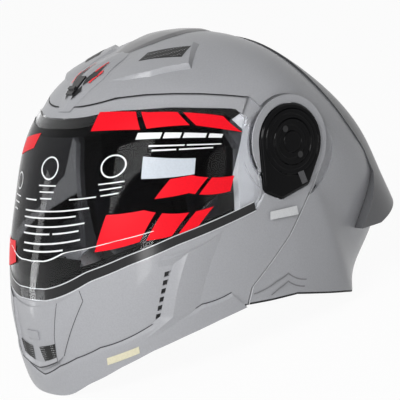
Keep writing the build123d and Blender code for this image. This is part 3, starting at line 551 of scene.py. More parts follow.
def box_of_light(name, place, size, power):
    """A soft box: an area lamp that looks at the hub."""
    lamp = bpy.data.lights.new(name, "AREA")
    lamp.shape = "RECTANGLE"
    lamp.size, lamp.size_y = size
    lamp.energy = power
    holder = placed(name, lamp)
    holder.location = place
    holder.rotation_euler = (Vector(HUB) - Vector(place)).to_track_quat("-Z", "Y").to_euler()


# The print on the visor's film. A band's bars lie between two lines of (turn, angle) in
# degrees from the middle and the hub, each from one share of them to another, with a slant
PRINT_LIFT = 0.9 * MM
PRINT_COLUMNS = 48
PRINT_ROWS = 6
RED_BANDS = (
    ([(18, 20.5), (37, 22), (54, 26.5), (73, 27)], [(18, 27.5), (37, 29.6), (54, 33.8), (66, 37.6)],
     ((0.0, 0.34), (0.38, 0.64), (0.68, 0.97)), -0.05),
    ([(47, -4.5), (58, -7), (71, -17)], [(48, 1.5), (58, 0.5), (72, -9)],
     ((0.0, 0.5), (0.56, 1.0)), 0.12),
    ([(28, -13.5), (44, -15.5), (62, -21.8)], [(29, -5), (44, -7), (66, -18.5)],
     ((0.0, 0.44), (0.5, 0.74), (0.8, 0.98)), 0.05),
    ([(-26, 11.5), (-7, 15)], [(-26, 17.5), (-7, 19.5)], ((0.1, 0.9),), 0.1),
    ([(-30, -19), (-11, -14.5)], [(-30, -12), (-11, -10)], ((0.1, 1.0),), -0.1),
)
WHITE_BANDS = (
    ([(36, 18.0), (66, 20.4)], [(36, 20.6), (66, 23.2)],
     ((0.02, 0.3), (0.33, 0.52), (0.55, 0.8), (0.83, 0.98)), 0.0),
    ([(42, 15.2), (66, 15.6)], [(42, 15.9), (66, 16.3)], ((0.0, 0.5), (0.53, 1.0)), 0.0),
    ([(42, 13.4), (66, 13.4)], [(42, 14.1), (66, 14.1)], ((0.06, 0.4), (0.44, 0.9)), 0.0),
)
# Rules: the angle of their tops and their runs of turns
RULE_ROWS = (
    (0.4, ((-8, -1), (15, 26))), (-2.3, ((-7, 24),)), (-3.9, ((-7, 19),)),
    (-5.9, ((-6, 23),)), (-7.5, ((-6, 8), (9.5, 21))), (-9.6, ((-5, 22),)),
    (-11.2, ((-5, 15),)),
)
RULE_HEIGHT = 0.36
# Rings: turn, angle and radius in degrees, and the captions under each, which get shorter
MARK_PLACES = ((-17, 4.5, 2.6), (3.5, 9, 3.4), (31, 9, 3.8))
RING_POINTS = 49
RING_WIDE = 0.45
RING_STRETCH = 1.25
CAPTIONS = 3
CAPTION_STEP = 1.7
CAPTION_DROP = 0.8
CAPTION_TAPER = 0.2
LABEL_CORNERS = ([(41.5, 3.5), (58.9, 0.6)], [(41.0, 11.6), (58.6, 8.6)])
FILM_EDGE = [(-260, -50), (-182, -44), (-174, -37), (-152, -34), (-126, -32.6)]
FILM_RIM = (-0.4, 0.5)
FILM_SMOOTH = 4
FILM_POINTS = 200


def printed(low, high, first=0, last=1, slant=0):
    """A bar between two lines, from one share of their length to another, with its upper
    edge further along by the slant."""
    share = np.linspace(first, last, PRINT_COLUMNS)
    flat = rows_between(along(low, share), along(high, share + slant), PRINT_ROWS)
    return on_form(flat[..., 0], flat[..., 1], PRINT_LIFT)


def rule(first, last, top):
    """A thin level bar between two turns, under an angle."""
    foot = top - RULE_HEIGHT
    return printed([(first, foot), (last, foot)], [(first, top), (last, top)])


def ring_mark(turn, angle, radius):
    """A plain ring round a place, stretched sideways."""
    around = np.linspace(0, 2 * np.pi, RING_POINTS)[:, None]
    away = np.array([radius, radius - RING_WIDE])
    turns = turn + away * np.cos(around) * RING_STRETCH
    return on_form(turns, angle + away * np.sin(around), PRINT_LIFT)


class HELMET_OT_print(bpy.types.Operator):
    """Slashes, rules and a blank label printed on the visor's film, all plain shapes"""

    bl_idname = "helmet.print"
    bl_label = "Film print"

    def execute(self, context):
        red, white = ([printed(low, high, *bar, slant)
                       for low, high, bars, slant in bands for bar in bars]
                      for bands in (RED_BANDS, WHITE_BANDS))
        nets_piece("print_red", red, "visor", "print_red")
        white += [rule(*run, top) for top, runs in RULE_ROWS for run in runs]
        for turn, angle, radius in MARK_PLACES:
            white.append(ring_mark(turn, angle, radius))
            for row in range(CAPTIONS):
                reach = radius * (RING_STRETCH - CAPTION_TAPER * row)
                top = angle - radius - CAPTION_STEP * (row + CAPTION_DROP)
                white.append(rule(turn - reach, turn + reach, top))
        rim = [side_curve(line, FILM_POINTS, PRINT_LIFT, FILM_SMOOTH)
               for line in (FILM_EDGE, moved(FILM_EDGE, *FILM_RIM))]
        white += both([np.stack(rim, 1)])
        nets_piece("print_white", white, "visor", "print_white")
        nets_piece("print_label", [printed(*LABEL_CORNERS)], "visor", "print_label")
        return {"FINISHED"}


# Under the visor: a painted brow band, then black down to the opening. In mm, the band
# lies under the form, deeper by a step towards the visor, and is cut in along its groove
BROW_GROOVE = [(-260, 60), (-150, 60), (-116, 63.5), (-99, 66.5), (-85, 65), (-69, 61),
               (-53, 56), (-37, 50), (-22, 44)]
VISOR_TOP = [(-260, 56), (-127, 55.5), (-108, 58), (-78, 52), (-37, 38.5), (-33, 33)]
EYE_TOP = [(-260, 47), (-104, 47.5), (-66, 40), (-50, 30)]
BROW_POINTS = 220
BROW_ROWS = 14
BROW_SINK = 0.35
BROW_STEP = 0.75
BROW_STEP_SHARE = 1 / 1.2
BROW_CUT = 1.6
BROW_CUT_SHARE = 0.09
BROW_LAP = 0.5
GROOVE_WIDE = 0.7
GROOVE_SINK = 0.2 * MM
MASK_LAP = 1.5
MASK_SINK = 2.7 * MM
MASK_ROWS = 10


class HELMET_OT_brow(bpy.types.Operator):
    """Brow band, a black strip painted in its groove as its shade, and the black mask behind
    the visor's upper edge
    """

    bl_idname = "helmet.brow"
    bl_label = "Brow"

    def execute(self, context):
        groove, foot, top, mask_top, eye = (
            side_curve(line, BROW_POINTS)
            for line in (BROW_GROOVE, moved(BROW_GROOVE, 0, -GROOVE_WIDE),
                         moved(VISOR_TOP, 0, BROW_LAP), moved(VISOR_TOP, 0, MASK_LAP), EYE_TOP))
        share = np.linspace(0, 1, BROW_ROWS)
        sink = (BROW_SINK + BROW_STEP * step_up(share / BROW_STEP_SHARE)
                + BROW_CUT * bells(share, (0,), BROW_CUT_SHARE))
        band = to_form(rows_between(groove, top, BROW_ROWS), -sink * MM)
        piece = nets_piece("brow_band", [both_sides(band)], "root", "shell_paint")
        thicken(piece, context.scene.helmet_sizes.brow_wall)
        # A black strip in the groove paints its shade
        strip = to_form(np.stack([groove, foot], 1), -GROOVE_SINK)
        nets_piece("brow_groove", [both_sides(strip)], "root", "rubber")
        # The mask is black, darkened further as painted shade
        mask = to_form(rows_between(mask_top, eye, MASK_ROWS), -MASK_SINK)
        nets_piece("eyeport_mask", [both_sides(mask)], "root", "deep_black")
        return {"FINISHED"}


# Hub cover: a drop round the hub, the hull of circles (backwards, upwards, radius) in mm.
# Its face falls as a dome, rolls over near its edge, and has rings (radius, depth) and a
# shallow dish between two radii
POD_CIRCLES = ((0, 0, 30.5), (5, -32, 6), (-20, -34.4, 6), (-30, -27, 6))
POD_RINGS = ((8.6, 0.9), (13.2, 0.6), (18.4, 1.0), (22.4, 0.5), (26.2, 0.9))
POD_RING_WIDE = 0.55
POD_DOME = 1.1
POD_ROLL = 1.6
POD_ROLL_SHARE = 0.07
POD_DISH = 0.25
POD_DISH_RADII = (9, 17)
POD_DISH_EDGE = 1.2
POD_TURNS = 241
POD_SHARES = np.linspace(0.001, 1, 110) ** 0.8
POD_SIDE_ROWS = 5
POD_INNER_SHARES = np.array([0.6, 0.001])

# The steps of a line's facing in degrees, and the least cosine between it and a ray
FACING_STEP = 0.5
FACING_LEAST = 0.05

# A plain moulded tab low on each cover, in side-view mm
TAB_CORNERS = ([(-2.4, -24.8), (3.6, -24.8)], [(-0.2, -35.2), (5.6, -35.0)])
TAB_RISE = 0.2 * MM


def pod_outline(angle):
    """Distance in mm from the hub to the drop's edge at angles in radians: the nearest
    line that the hull of the circles lies behind, over all directions of that line."""
    facing = np.radians(np.arange(0, 360, FACING_STEP))
    support = np.max([y * np.cos(facing) + z * np.sin(facing) + r for y, z, r in POD_CIRCLES], 0)
    toward = np.cos(angle[..., None] - facing)
    far = np.where(toward > FACING_LEAST, support / np.maximum(toward, FACING_LEAST), np.inf)
    return far.min(-1)


class HELMET_OT_pods(bpy.types.Operator):
    """Domed hub covers with turned rings: the height falls with the fourth power of the
    share of the way to the edge, and a narrow bell curve cuts each ring"""

    bl_idname = "helmet.pods"
    bl_label = "Hub covers"

    def execute(self, context):
        low, high = (corner.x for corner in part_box("pod_left"))
        turn = np.linspace(0, 2 * np.pi, POD_TURNS)[:, None]
        edge = pod_outline(turn)
        away = POD_SHARES * edge
        first, last = POD_DISH_RADII
        fall = (POD_DOME * POD_SHARES**4
                + POD_ROLL * step_up(1 - (1 - POD_SHARES) / POD_ROLL_SHARE) ** 2
                + sum(deep * bells(away, (radius,), POD_RING_WIDE) for radius, deep in POD_RINGS)
                + POD_DISH * step_up((away - first) / POD_DISH_EDGE)
                * step_up((last - away) / POD_DISH_EDGE))
        height = high - fall * MM
        rim = height[:, -1:]
        down = np.linspace(0, 1, POD_SIDE_ROWS + 1)[1:]
        x = np.concatenate(
            [height, rim + (low - rim) * down, np.full((POD_TURNS, 2), low)], 1)
        radius = np.concatenate(
            [away, edge + 0 * down, edge * POD_INNER_SHARES], 1) * MM
        cover = np.stack([x, radius * np.cos(turn), radius * np.sin(turn)], -1)
        pair_of("pod_cover", [cover], "chin_bar", "pod_gloss", "pod", sharp=60)
        flat = net(*TAB_CORNERS, 12, 16)
        share = np.hypot(*flat.T) / pod_outline(np.arctan2(*flat.T[::-1]))
        face = high + TAB_RISE - POD_DOME * MM * share.T**4
        tab = np.concatenate([face[..., None], flat * MM], -1)
        nets_piece("pod_tabs", both([tab]), "chin_bar", "tab_grey")
        return {"FINISHED"}


# Crown scoops: (turn, angle) in degrees and the height over the shell in mm
SCOOP_TIP = (10.6, 40.2, -0.4)
SCOOP_FOOT = [SCOOP_TIP, (18.9, 41.6, -0.4), (27.6, 46.3, -0.4), (37.6, 59.2, -0.4)]
SCOOP_CREST = [SCOOP_TIP, (18.2, 43.4, 1.5), (26.0, 48.6, 3.2), (35.6, 60.6, 4.8)]
SCOOP_RIDGE = [SCOOP_TIP, (10.2, 52.0, 0.6), (11.2, 64.6, 1.6), (25.0, 78.0, 3.4)]
SCOOP_BACK_FOOT = [(37.6, 59.2, -0.4), (26.4, 80.6, -0.4)]
SCOOP_INNER_FOOT = [SCOOP_TIP, (8.6, 52.4, -0.4), (9.2, 65.6, -0.4), (26.4, 80.6, -0.4)]
SCOOP_MOUTH = ([(17.0, 54.6), (29.6, 63.0)], [(15.6, 61.0), (26.8, 72.4)])

# The mouth's lip and mesh: the share that each is grown by, and its rise in mm. The
# nearest points of a slope that give a place its height, and what keeps their weights finite
SCOOP_LIP = (0.13, 0.12)
SCOOP_MESH = (0, 0.3)
NEAREST = 3
NEAREST_BLUR = 1e-4


def height_at(turn, angle, low, high):
    """The height of the slope between two polylines of (turn, angle, height): each place
    gets the mean of the nearest points of a fine net, the nearer the more."""
    fine = net(low, high, 24, 40).reshape(-1, 3)
    place = np.stack([turn.ravel(), angle.ravel()], 1)
    away = ((place[:, None] - fine[None, :, :2]) ** 2).sum(2)
    near = np.argsort(away, axis=1)[:, :NEAREST]
    weight = 1 / (np.take_along_axis(away, near, 1) + NEAREST_BLUR)
    return ((fine[near, 2] * weight).sum(1) / weight.sum(1)).reshape(turn.shape)


def mouth_grid(grow, rise):
    """A four-cornered patch over the scoop's mouth, grown by a share of its size."""
    corners = np.array(SCOOP_MOUTH)
    middle = corners.mean((0, 1))
    turn, angle = np.moveaxis(net(*((corners - middle) * (1 + grow) + middle), 24, 14), -1, 0)
    over = height_at(turn, angle, SCOOP_CREST, SCOOP_RIDGE)
    return on_form(turn, angle, (over + rise) * MM)


class HELMET_OT_scoops(bpy.types.Operator):
    """Crown scoops: sloping facets that rise from the shell to a mouth of woven mesh"""

    bl_idname = "helmet.scoops"
    bl_label = "Crown scoops"

    def execute(self, context):
        skin = [
            slope(SCOOP_FOOT, SCOOP_CREST, 12, 8),
            slope(SCOOP_CREST, SCOOP_RIDGE, 20, 40),
            slope(SCOOP_RIDGE, SCOOP_INNER_FOOT, 12, 5),
            slope([SCOOP_CREST[-1], SCOOP_RIDGE[-1]], SCOOP_BACK_FOOT, 20, 8),
        ]
        pair_of("scoop", skin, "root", "shell_paint", "crown_scoop", sharp=18)
        pair_of("scoop_lip", [mouth_grid(*SCOOP_LIP)], "root", "black_plastic")
        pair_of("scoop_mesh", [mouth_grid(*SCOOP_MESH)], "root", "vent_weave", "crown_mesh")
        return {"FINISHED"}


# Brow vent: half of a raised wedge, (turn, angle, height) from the middle outwards
VENT_SPINE = [(0, 27.0, 0.3), (0, 35.0, 3.0), (0, 43.0, 3.8), (0, 55.0, 1.6), (0, 64.0, 0.2)]
VENT_EDGE = [(3.0, 27.0, 0.1), (6.0, 33.5, 0.2), (9.0, 41.5, 0.3), (7.0, 55.0, 0.2),
             (2.5, 64.0, 0.1)]
VENT_MOUTHS = (
    ([(2.6, 37.4, 2.7), (5.6, 42.6, 2.0)], [(1.9, 40.6, 3.1), (3.6, 50.4, 1.9)]),
    ([(1.3, 31.4, 1.9), (3.6, 35.0, 1.9)], [(1.0, 34.0, 2.6), (2.6, 37.4, 2.7)]),
)
VENT_REDS = (
    ([(5.0, 38.8, 1.9), (6.6, 44.2, 1.5)], [(4.2, 38.8, 2.2), (5.8, 46.0, 1.6)]),
    ([(3.4, 44.2, 2.4), (3.9, 50.4, 1.6)], [(2.9, 44.6, 2.6), (3.2, 51.2, 1.7)]),
)
VENT_MOUTH_RISE = 0.35
VENT_RED_RISE = 0.5


class HELMET_OT_brow_vent(bpy.types.Operator):
    """Brow vent: a keeled wedge with black slanted mouths and red edges"""

    bl_idname = "helmet.brow_vent"
    bl_label = "Brow vent"

    def execute(self, context):
        wedge = [slope(VENT_SPINE, VENT_EDGE, 14, 18)]
        nets_piece("vent_wedge", both(wedge), "root", "shell_paint", "top_vent_housing", sharp=16)
        mouths = [slope(low, high, 8, 8, VENT_MOUTH_RISE) for low, high in VENT_MOUTHS]
        nets_piece("vent_mouths", both(mouths), "root", "black_plastic", "top_vent_grille")
        reds = [slope(low, high, 8, 4, VENT_RED_RISE) for low, high in VENT_REDS]
        nets_piece("vent_reds", both(reds), "root", "red_plastic")
        return {"FINISHED"}


# Soft parts lie on the foam's face, which is this much inside the form, and narrower by
# this much more on each side
PAD_INSET = 34.6 * MM
LINER_NARROW = 6 * MM

# Crown pad: its sides in side view, its front and rear angle, and its sewn channels: shares
# of its half width and angles across it
CROWN_PAD_THICK = 7 * MM
CROWN_PAD_LINE = [(-110, 58), (-62, 49), (-37, 32), (-30, 8), (50, -10), (150, -64)]
CROWN_PAD_ANGLES = (29, 202)
CROWN_CHANNELS = (0.3, 0.72)
CROWN_CROSSINGS = (62, 98, 134, 170)
CROWN_PAD_GRID = (170, 141)
CHANNEL_WIDE = 0.025
CROSSING_WIDE = 1.3
CHANNEL_DEPTH = 0.55
CROWN_PAD_BACK = 0.4

# Cheek pad: its outline in side view, the shares of the way out that its rings lie at, a
# seam, and a hollow upright, both with their depth as a share of the thickness
CHEEK_LINE = [(-68, -24), (6, -24), (17, -60), (6, -111), (-54, -102), (-73, -68)]
CHEEK_THICK = 31 * MM
CHEEK_SEAM_SHARE = 0.66
CHEEK_POINTS = 201
CHEEK_SHARES = np.linspace(0.002, 1, 60) ** 0.75
CHEEK_SMOOTH = 5
CHEEK_FULL = 0.94
CHEEK_SEAM_WIDE = 0.03
CHEEK_SEAM_DEPTH = 0.12
CHEEK_HOLLOW = 0.22
CHEEK_HOLLOW_AT = 12 * MM
CHEEK_HOLLOW_WIDE = 20 * MM

# Neck roll: side-view lines of its back from top to foot, and its creases from side to rear
NECK_LINES = [[(12, -114.6), (220, -114.6)], [(12, -122), (220, -122)],
              [(15, -131), (220, -136)], [(32, -137.4), (58, -147.4), (220, -149.6)]]
NECK_INSET = 7 * MM
NECK_THICK = 18.4 * MM
NECK_POINTS = 130
NECK_ROWS = 26
NECK_SMOOTH = 2
NECK_CENTRE = np.array([0, 30 * MM, 0])
NECK_TAPER = 11
NECK_CREASES = (0.33, 0.66)
NECK_CREASE_WIDE = 0.006
NECK_CREASE_DEPTH = 0.12

# How far a pad's back draws off the foam at its rim, as a share of its thickness
PAD_BACK = 0.3

# The reach of a ray that meets no line, and how far past a run's ends it may meet one, as
# a share of the run
FAR_AWAY = 1.0
PART_SLACK = 1e-6


def flat_cross(a, b):
    """The cross product of side-view vectors."""
    return a[..., 0] * b[..., 1] - a[..., 1] * b[..., 0]


def ray_reach(angle, line):
    """Distance from the hub to a side-view polyline along each angle, in metres."""
    turn = np.radians(angle)[:, None]
    way = np.stack([-np.cos(turn), np.sin(turn)], -1)
    ends = np.array(line, float) * MM
    start, run = ends[:-1], np.diff(ends, axis=0)
    cross = flat_cross(way, run)
    cross = np.where(np.abs(cross) < TINY, TINY, cross)
    far, part = flat_cross(start, run) / cross, flat_cross(start, way) / cross
    good = (far > 0) & (part >= -PART_SLACK) & (part <= 1 + PART_SLACK)
    return np.where(good, far, FAR_AWAY).min(1)


def rounded(share, power):
    """A cushion's section, sqrt(1 - share^power): 1 in the middle, 0 at a share of 1."""
    return np.sqrt(np.clip(1 - np.abs(share) ** power, 0, 1))


def crown_cushion():
    """The crown pad: sewn channels run along it and across it."""
    angle = np.linspace(*CROWN_PAD_ANGLES, CROWN_PAD_GRID[0])[:, None]
    reach = ray_reach(angle[:, 0], CROWN_PAD_LINE)[:, None]
    full, _, p, _ = form_facts(angle, -PAD_INSET)
    widest = np.degrees(np.arccos(np.clip(reach / full, 0, 1) ** (p / 2)))
    share = np.sin(np.linspace(-np.pi / 2, np.pi / 2, CROWN_PAD_GRID[1]))
    ends = 2 * (angle - CROWN_PAD_ANGLES[0]) / np.ptp(CROWN_PAD_ANGLES) - 1
    body = rounded(share, 4) * rounded(ends, 12)
    sewn = (bells(np.abs(share), CROWN_CHANNELS, CHANNEL_WIDE)
            + bells(angle, CROWN_CROSSINGS, CROSSING_WIDE))
    puff = body * CROWN_PAD_THICK * (1 - CHANNEL_DEPTH * np.clip(sewn, 0, 1))
    back = PAD_INSET + (1 - body) * CROWN_PAD_BACK * CROWN_PAD_THICK
    grids = [on_form(share * widest, angle, -inset, LINER_NARROW, CAP)
             for inset in (back, back + puff)]
    piece = nets_piece("crown_cushion", grids, "root", "lining", "crown_pad", closed=True)


def cheek_cushions():
    """The cheek pads: rings from the middle of their rounded outline to its rim."""
    rim = resample(dense(CHEEK_LINE + CHEEK_LINE[:1]), CHEEK_POINTS)
    for half_round in (CHEEK_POINTS // 2, -(CHEEK_POINTS // 2)):
        rim = np.roll(smoothed(rim, CHEEK_SMOOTH), half_round, axis=0)
    rim = rim * MM
    rim[-1] = rim[0]
    middle = rim[:-1].mean(0)
    flat = middle + (rim[:, None] - middle) * CHEEK_SHARES[:, None]
    body = rounded(CHEEK_SHARES, 5)
    seam = CHEEK_SEAM_DEPTH * bells(CHEEK_SHARES, (CHEEK_SEAM_SHARE,), CHEEK_SEAM_WIDE)
    hollow = CHEEK_HOLLOW * bells(flat[..., 0], (CHEEK_HOLLOW_AT,), CHEEK_HOLLOW_WIDE)
    puff = body * CHEEK_THICK * (CHEEK_FULL - seam - hollow)
    back = PAD_BACK * CHEEK_THICK * (1 - body)
    away = side_x(flat, -PAD_INSET, LINER_NARROW, CAP) - back
    grids = [np.concatenate([x[..., None], flat], -1) for x in (away, away - puff)]
    for piece in pair_of("cheek_cushion", grids, "root", "lining", "cheek_pad", closed=True):
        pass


def neck_cushion():
    """The neck roll: it stands off its back inwards, towards an upright through the neck."""
    rows = np.stack([side_curve(line, NECK_POINTS, -NECK_INSET, NECK_SMOOTH, LINER_NARROW)
                     for line in NECK_LINES], 1)
    level = np.linspace(0, 1, NECK_ROWS)
    at = level * (len(NECK_LINES) - 1)
    low = np.clip(at.astype(int), 0, len(NECK_LINES) - 2)
    mix = (at - low)[:, None]
    outer = rows[:, low] * (1 - mix) + rows[:, low + 1] * mix
    inward = NECK_CENTRE - outer * np.array([1, 1, 0])
    inward = inward / np.linalg.norm(inward, axis=-1, keepdims=True)
    share = np.linspace(0, 1, NECK_POINTS)[:, None]
    body = rounded(2 * level - 1, 3) * rounded(np.clip(1 - NECK_TAPER * share, 0, 1), 3)
    creases = NECK_CREASE_DEPTH * bells(share, NECK_CREASES, NECK_CREASE_WIDE)
    puff = NECK_THICK * body * (1 - creases)
    back = PAD_BACK * NECK_THICK * (1 - body)
    grids = [both_sides((outer + inward * off[..., None])[::-1]) for off in (back, back + puff)]
    piece = nets_piece("neck_cushion", grids, "root", "lining", "neck_roll", closed=True)


class HELMET_OT_pads(bpy.types.Operator):
    """Crown, cheek and neck pads: the face that rests on the foam follows the form, and
    the other stands off by the thickness times the rounded section, less a bell curve at
    each seam"""

    bl_idname = "helmet.pads"
    bl_label = "Pads"

    def execute(self, context):
        crown_cushion()
        cheek_cushions()
        neck_cushion()
        return {"FINISHED"}


# Chin curtain: its rear edge in side view, its inset and width, and its sag and ripples
CURTAIN_LINE = [(-260, -140), (-188, -133), (-168, -121), (-146, -115)]
CURTAIN_INSET = 15.6 * MM
CURTAIN_WIDE = 22.5 * MM
CURTAIN_GRID = (120, 24)
CURTAIN_SAG = 0.9 * MM
CURTAIN_RIPPLE = 0.2 * MM
CURTAIN_RIPPLE_TURN = 0.5

# Straps: their path in (sideways, upwards) mm, and their section in half widths and half
# thicknesses, of which some points make the caps at the ends
STRAP_PATH = [(78.2, -86), (78.2, -117), (76, -123), (66, -128), (48, -131.8), (34.4, -133.8)]
STRAP_STEP = 0.8
STRAP_SMOOTH = 8
STRAP_SECTION = np.array([(-1, -0.35), (-0.92, -1), (0.92, -1), (1, -0.35), (1, 0.35),
                          (0.92, 1), (-0.92, 1), (-1, 0.35), (-1, -0.35)])
STRAP_CAP = [[0, 3], [7, 4]]


def square_to(line):
    """Unit vectors at right angles to the run of a flat line, one for each point."""
    run = np.gradient(line, axis=0)
    run = run / np.linalg.norm(run, axis=1, keepdims=True)
    return np.stack([-run[:, 1], run[:, 0]], 1)


class HELMET_OT_cloth(bpy.types.Operator):
    """Chin curtain, a sheet between two curves of the form that sags between them, and
    the strap's webbing, a flat section carried down a rounded path"""

    bl_idname = "helmet.cloth"
    bl_label = "Curtain and straps"

    def execute(self, context):
        sizes = context.scene.helmet_sizes
        columns, rows = CURTAIN_GRID
        rear, front = (side_curve(CURTAIN_LINE, columns, -inset)
                       for inset in (CURTAIN_INSET, CURTAIN_INSET + CURTAIN_WIDE))
        half = rows_between(rear, front, rows)
        share = np.linspace(0, 1, rows)
        ripple = np.sin(np.arange(columns) * CURTAIN_RIPPLE_TURN)[:, None] * share
        half[..., 2] -= CURTAIN_SAG * np.sin(np.pi * share) + CURTAIN_RIPPLE * ripple
        grid = both_sides(half)
        piece = nets_piece("curtain_sheet", [grid], "chin_bar", "webbing", "chin_curtain")
        thicken(piece, sizes.curtain)

        path = smoothed(dense(STRAP_PATH, STRAP_STEP), STRAP_SMOOTH) * MM
        offset = STRAP_SECTION[:, 1:] * sizes.strap_thick / 2
        x, z = np.moveaxis(path[:, None] + square_to(path)[:, None] * offset, -1, 0)
        y = STRAP_SECTION[:, 0] * sizes.strap_wide / 2 + 0 * x
        tube = np.stack([x, y, z], -1)
        grids = [tube, tube[0][STRAP_CAP], tube[-1][STRAP_CAP]]
        pair_of("webbing", grids, "root", "webbing", "strap", sharp=50, closed=True)
        return {"FINISHED"}


# Chin details: (turn, angle, height in mm) from the outer edge to the middle
CHIN_OUTER = [(22, -20.4, 0.1), (23.3, -22.6, 0.1), (12.0, -31.0, 0.1), (0, -33.6, 0.1)]
CHIN_CREST = [(12.8, -21.4, 2.0), (10.6, -26.8, 3.0), (9.5, -31.3, 3.2), (0, -32.4, 3.2)]
CHIN_STEP = [(11.9, -21.5, 0.5), (9.7, -26.8, 0.5), (8.7, -30.9, 0.5), (0, -31.9, 0.5)]
CHIN_MIDDLE = [(0, -22.0, 1.2), (0, -25.0, 1.4), (0, -28.4, 1.2), (0, -31.9, 0.5)]
CHIN_MESH = ([(2.2, -31.6, 0.9), (8.7, -30.9, 0.9)], [(1.4, -28.9, 1.5), (9.5, -28.5, 1.1)])

# Dark strips painted along creases as their shade, wide in degrees and raised in mm, also
# round the lower band
SHADED_CREASES = (CHIN_CREST, CHIN_OUTER[:3])
SHADE_STRIP_WIDE = 0.22
SHADE_STRIP_RISE = 0.12
SHADE_STRIP_PARTS = 24
BAND_CREASE = [(0, -34.2), (8.8, -32.6), (17, -32.0), (26.6, -32.2), (43.5, -35.2), (56.9, -42.4),
               (63.6, -49.5)]
BAND_CREASE_HEIGHT = 0.25
BAND_STEP = 0.5
BAND_GRID = (200, 16)

# The lower band's upper edge and its face stand over the form in mm, the face from a share
# of its width
BAND_EDGE = 0.02
BAND_RISE = 1.3
BAND_RISE_SHARE = 0.12

# Facets beside the side slots
FLANK_FOOT = [(48.6, -24.4, 0.1), (53.2, -26.8, 0.1), (46.4, -35.2, 0.1), (41.6, -34.9, 0.1)]
FLANK_RIDGE = [(49.6, -23.2, 1.6), (57.8, -26.6, 2.6), (49.4, -37.4, 2.6), (39.8, -36.4, 1.2)]
FLANK_FALL = [(50.4, -22.7, 0.5), (68, -31.6, 0.1), (55, -42.6, 0.1), (34, -38.2, 0.1)]


def shade_strip(line):
    """A narrow dark strip along a line of (turn, angle, height) that paints a crease's shade,
    wide in degrees of turn and angle across the line's own run."""
    flat = spread(line, SHADE_STRIP_PARTS)[:, None]
    half = square_to(flat[:, 0, :2])[:, None] * SHADE_STRIP_WIDE / 2
    turn, angle = np.moveaxis(flat[..., :2] + half * np.array([[-1], [1]]), -1, 0)
    return on_form(turn, angle, (flat[..., 2] + SHADE_STRIP_RISE) * MM)


class HELMET_OT_chin(bpy.types.Operator):
    """Chin details: a keeled panel round the centre vent, a raised lower band, and the
    facets beside the side slots, each a net of straight rows between two lines"""

    bl_idname = "helmet.chin"
    bl_label = "Chin details"

    def execute(self, context):
        panel = [slope(CHIN_OUTER, CHIN_CREST, 16, 14), slope(CHIN_CREST, CHIN_STEP, 16, 4),
                 slope(CHIN_STEP, CHIN_MIDDLE, 16, 20)]
        nets_piece("chin_panel", both(panel), "chin_bar", "shell_paint", "chin_vent_cover",
                   sharp=17)
        mesh = [slope(*CHIN_MESH, 20, 12)]
        nets_piece("chin_vent_weave", both(mesh), "chin_bar", "vent_weave")
        # Dark strips along the creases and the band's crease paint their shade
        band_line = [(turn, angle, BAND_CREASE_HEIGHT) for turn, angle in BAND_CREASE]
        seams = [shade_strip(line) for line in (*SHADED_CREASES, band_line)]
        nets_piece("chin_creases", both(seams), "chin_bar", "crease")

        columns, rows = BAND_GRID
        crease = dense(BAND_CREASE, BAND_STEP)
        upper = resample(on_form(crease[:, 0], crease[:, 1]), columns)
        lower = side_curve(CHIN_BASE[::-1], columns)
        rise = BAND_RISE * step_up(np.linspace(0, 1, rows) / BAND_RISE_SHARE) + BAND_EDGE
        band = to_form(rows_between(upper, lower, rows), rise * MM)
        nets_piece("chin_lower_band", [both_sides(band)], "chin_bar", "shell_paint", sharp=25)

        flank = [slope(FLANK_FOOT, FLANK_RIDGE, 16, 8), slope(FLANK_RIDGE, FLANK_FALL, 16, 14)]
        nets_piece("chin_flanks", both(flank), "chin_bar", "shell_paint", sharp=14)
        return {"FINISHED"}


# Trim along the visor's foot, and pale lines painted on its edges as highlights: heights
# over its lower edge in side-view mm
FOOT_STRIP = (0.9, 7.4)
FOOT_HIGHLIGHTS = ((0.1, 0.9), (7.4, 8.1))
FOOT_STRIP_LIFT = 0.4 * MM
FOOT_HIGHLIGHT_LIFT = 0.45 * MM
FOOT_POINTS = 220


def foot_band(low, high, lift):
    """A strip over the visor between two heights above its lower edge."""
    rows = [side_curve(moved(VISOR_FOOT, 0, rise), FOOT_POINTS, lift) for rise in (low, high)]
    return both_sides(np.stack(rows, 1)[::-1])


class HELMET_OT_visor_trim(bpy.types.Operator):
    """Black strip along the visor's foot, with pale lines painted on its edges as highlights"""

    bl_idname = "helmet.visor_trim"
    bl_label = "Visor trim"

    def execute(self, context):
        strip = foot_band(*FOOT_STRIP, FOOT_STRIP_LIFT)
        nets_piece("visor_foot_strip", [strip], "visor", "black_gloss")
        # Pale lines along both edges of the strip paint their highlights
        edges = [foot_band(low, high, FOOT_HIGHLIGHT_LIFT) for low, high in FOOT_HIGHLIGHTS]
        nets_piece("visor_foot_lines", edges, "visor", "edge_bright")
        return {"FINISHED"}


# Low on the sides: the front and rear of a pale line painted along the seam as its highlight,
# in mm behind the seam, and dark lines painted as the shade of creases, as (turn, angle, height)
SEAM_HIGHLIGHT = (0.05, 0.95)
SEAM_HIGHLIGHT_LIFT = 0.3 * MM
SIDE_SHADE_LINES = ([(66.5, 301.5, 0.2), (68, 297.4, 0.2), (69.9, 292.4, 0.2), (71.3, 286.6, 0.2),
                 (68.7, 276.5, 0.2)],
                [(67.7, 293.8, 0.2), (69, 290.6, 0.2), (70.1, 286.4, 0.2), (67.9, 277.7, 0.2)])


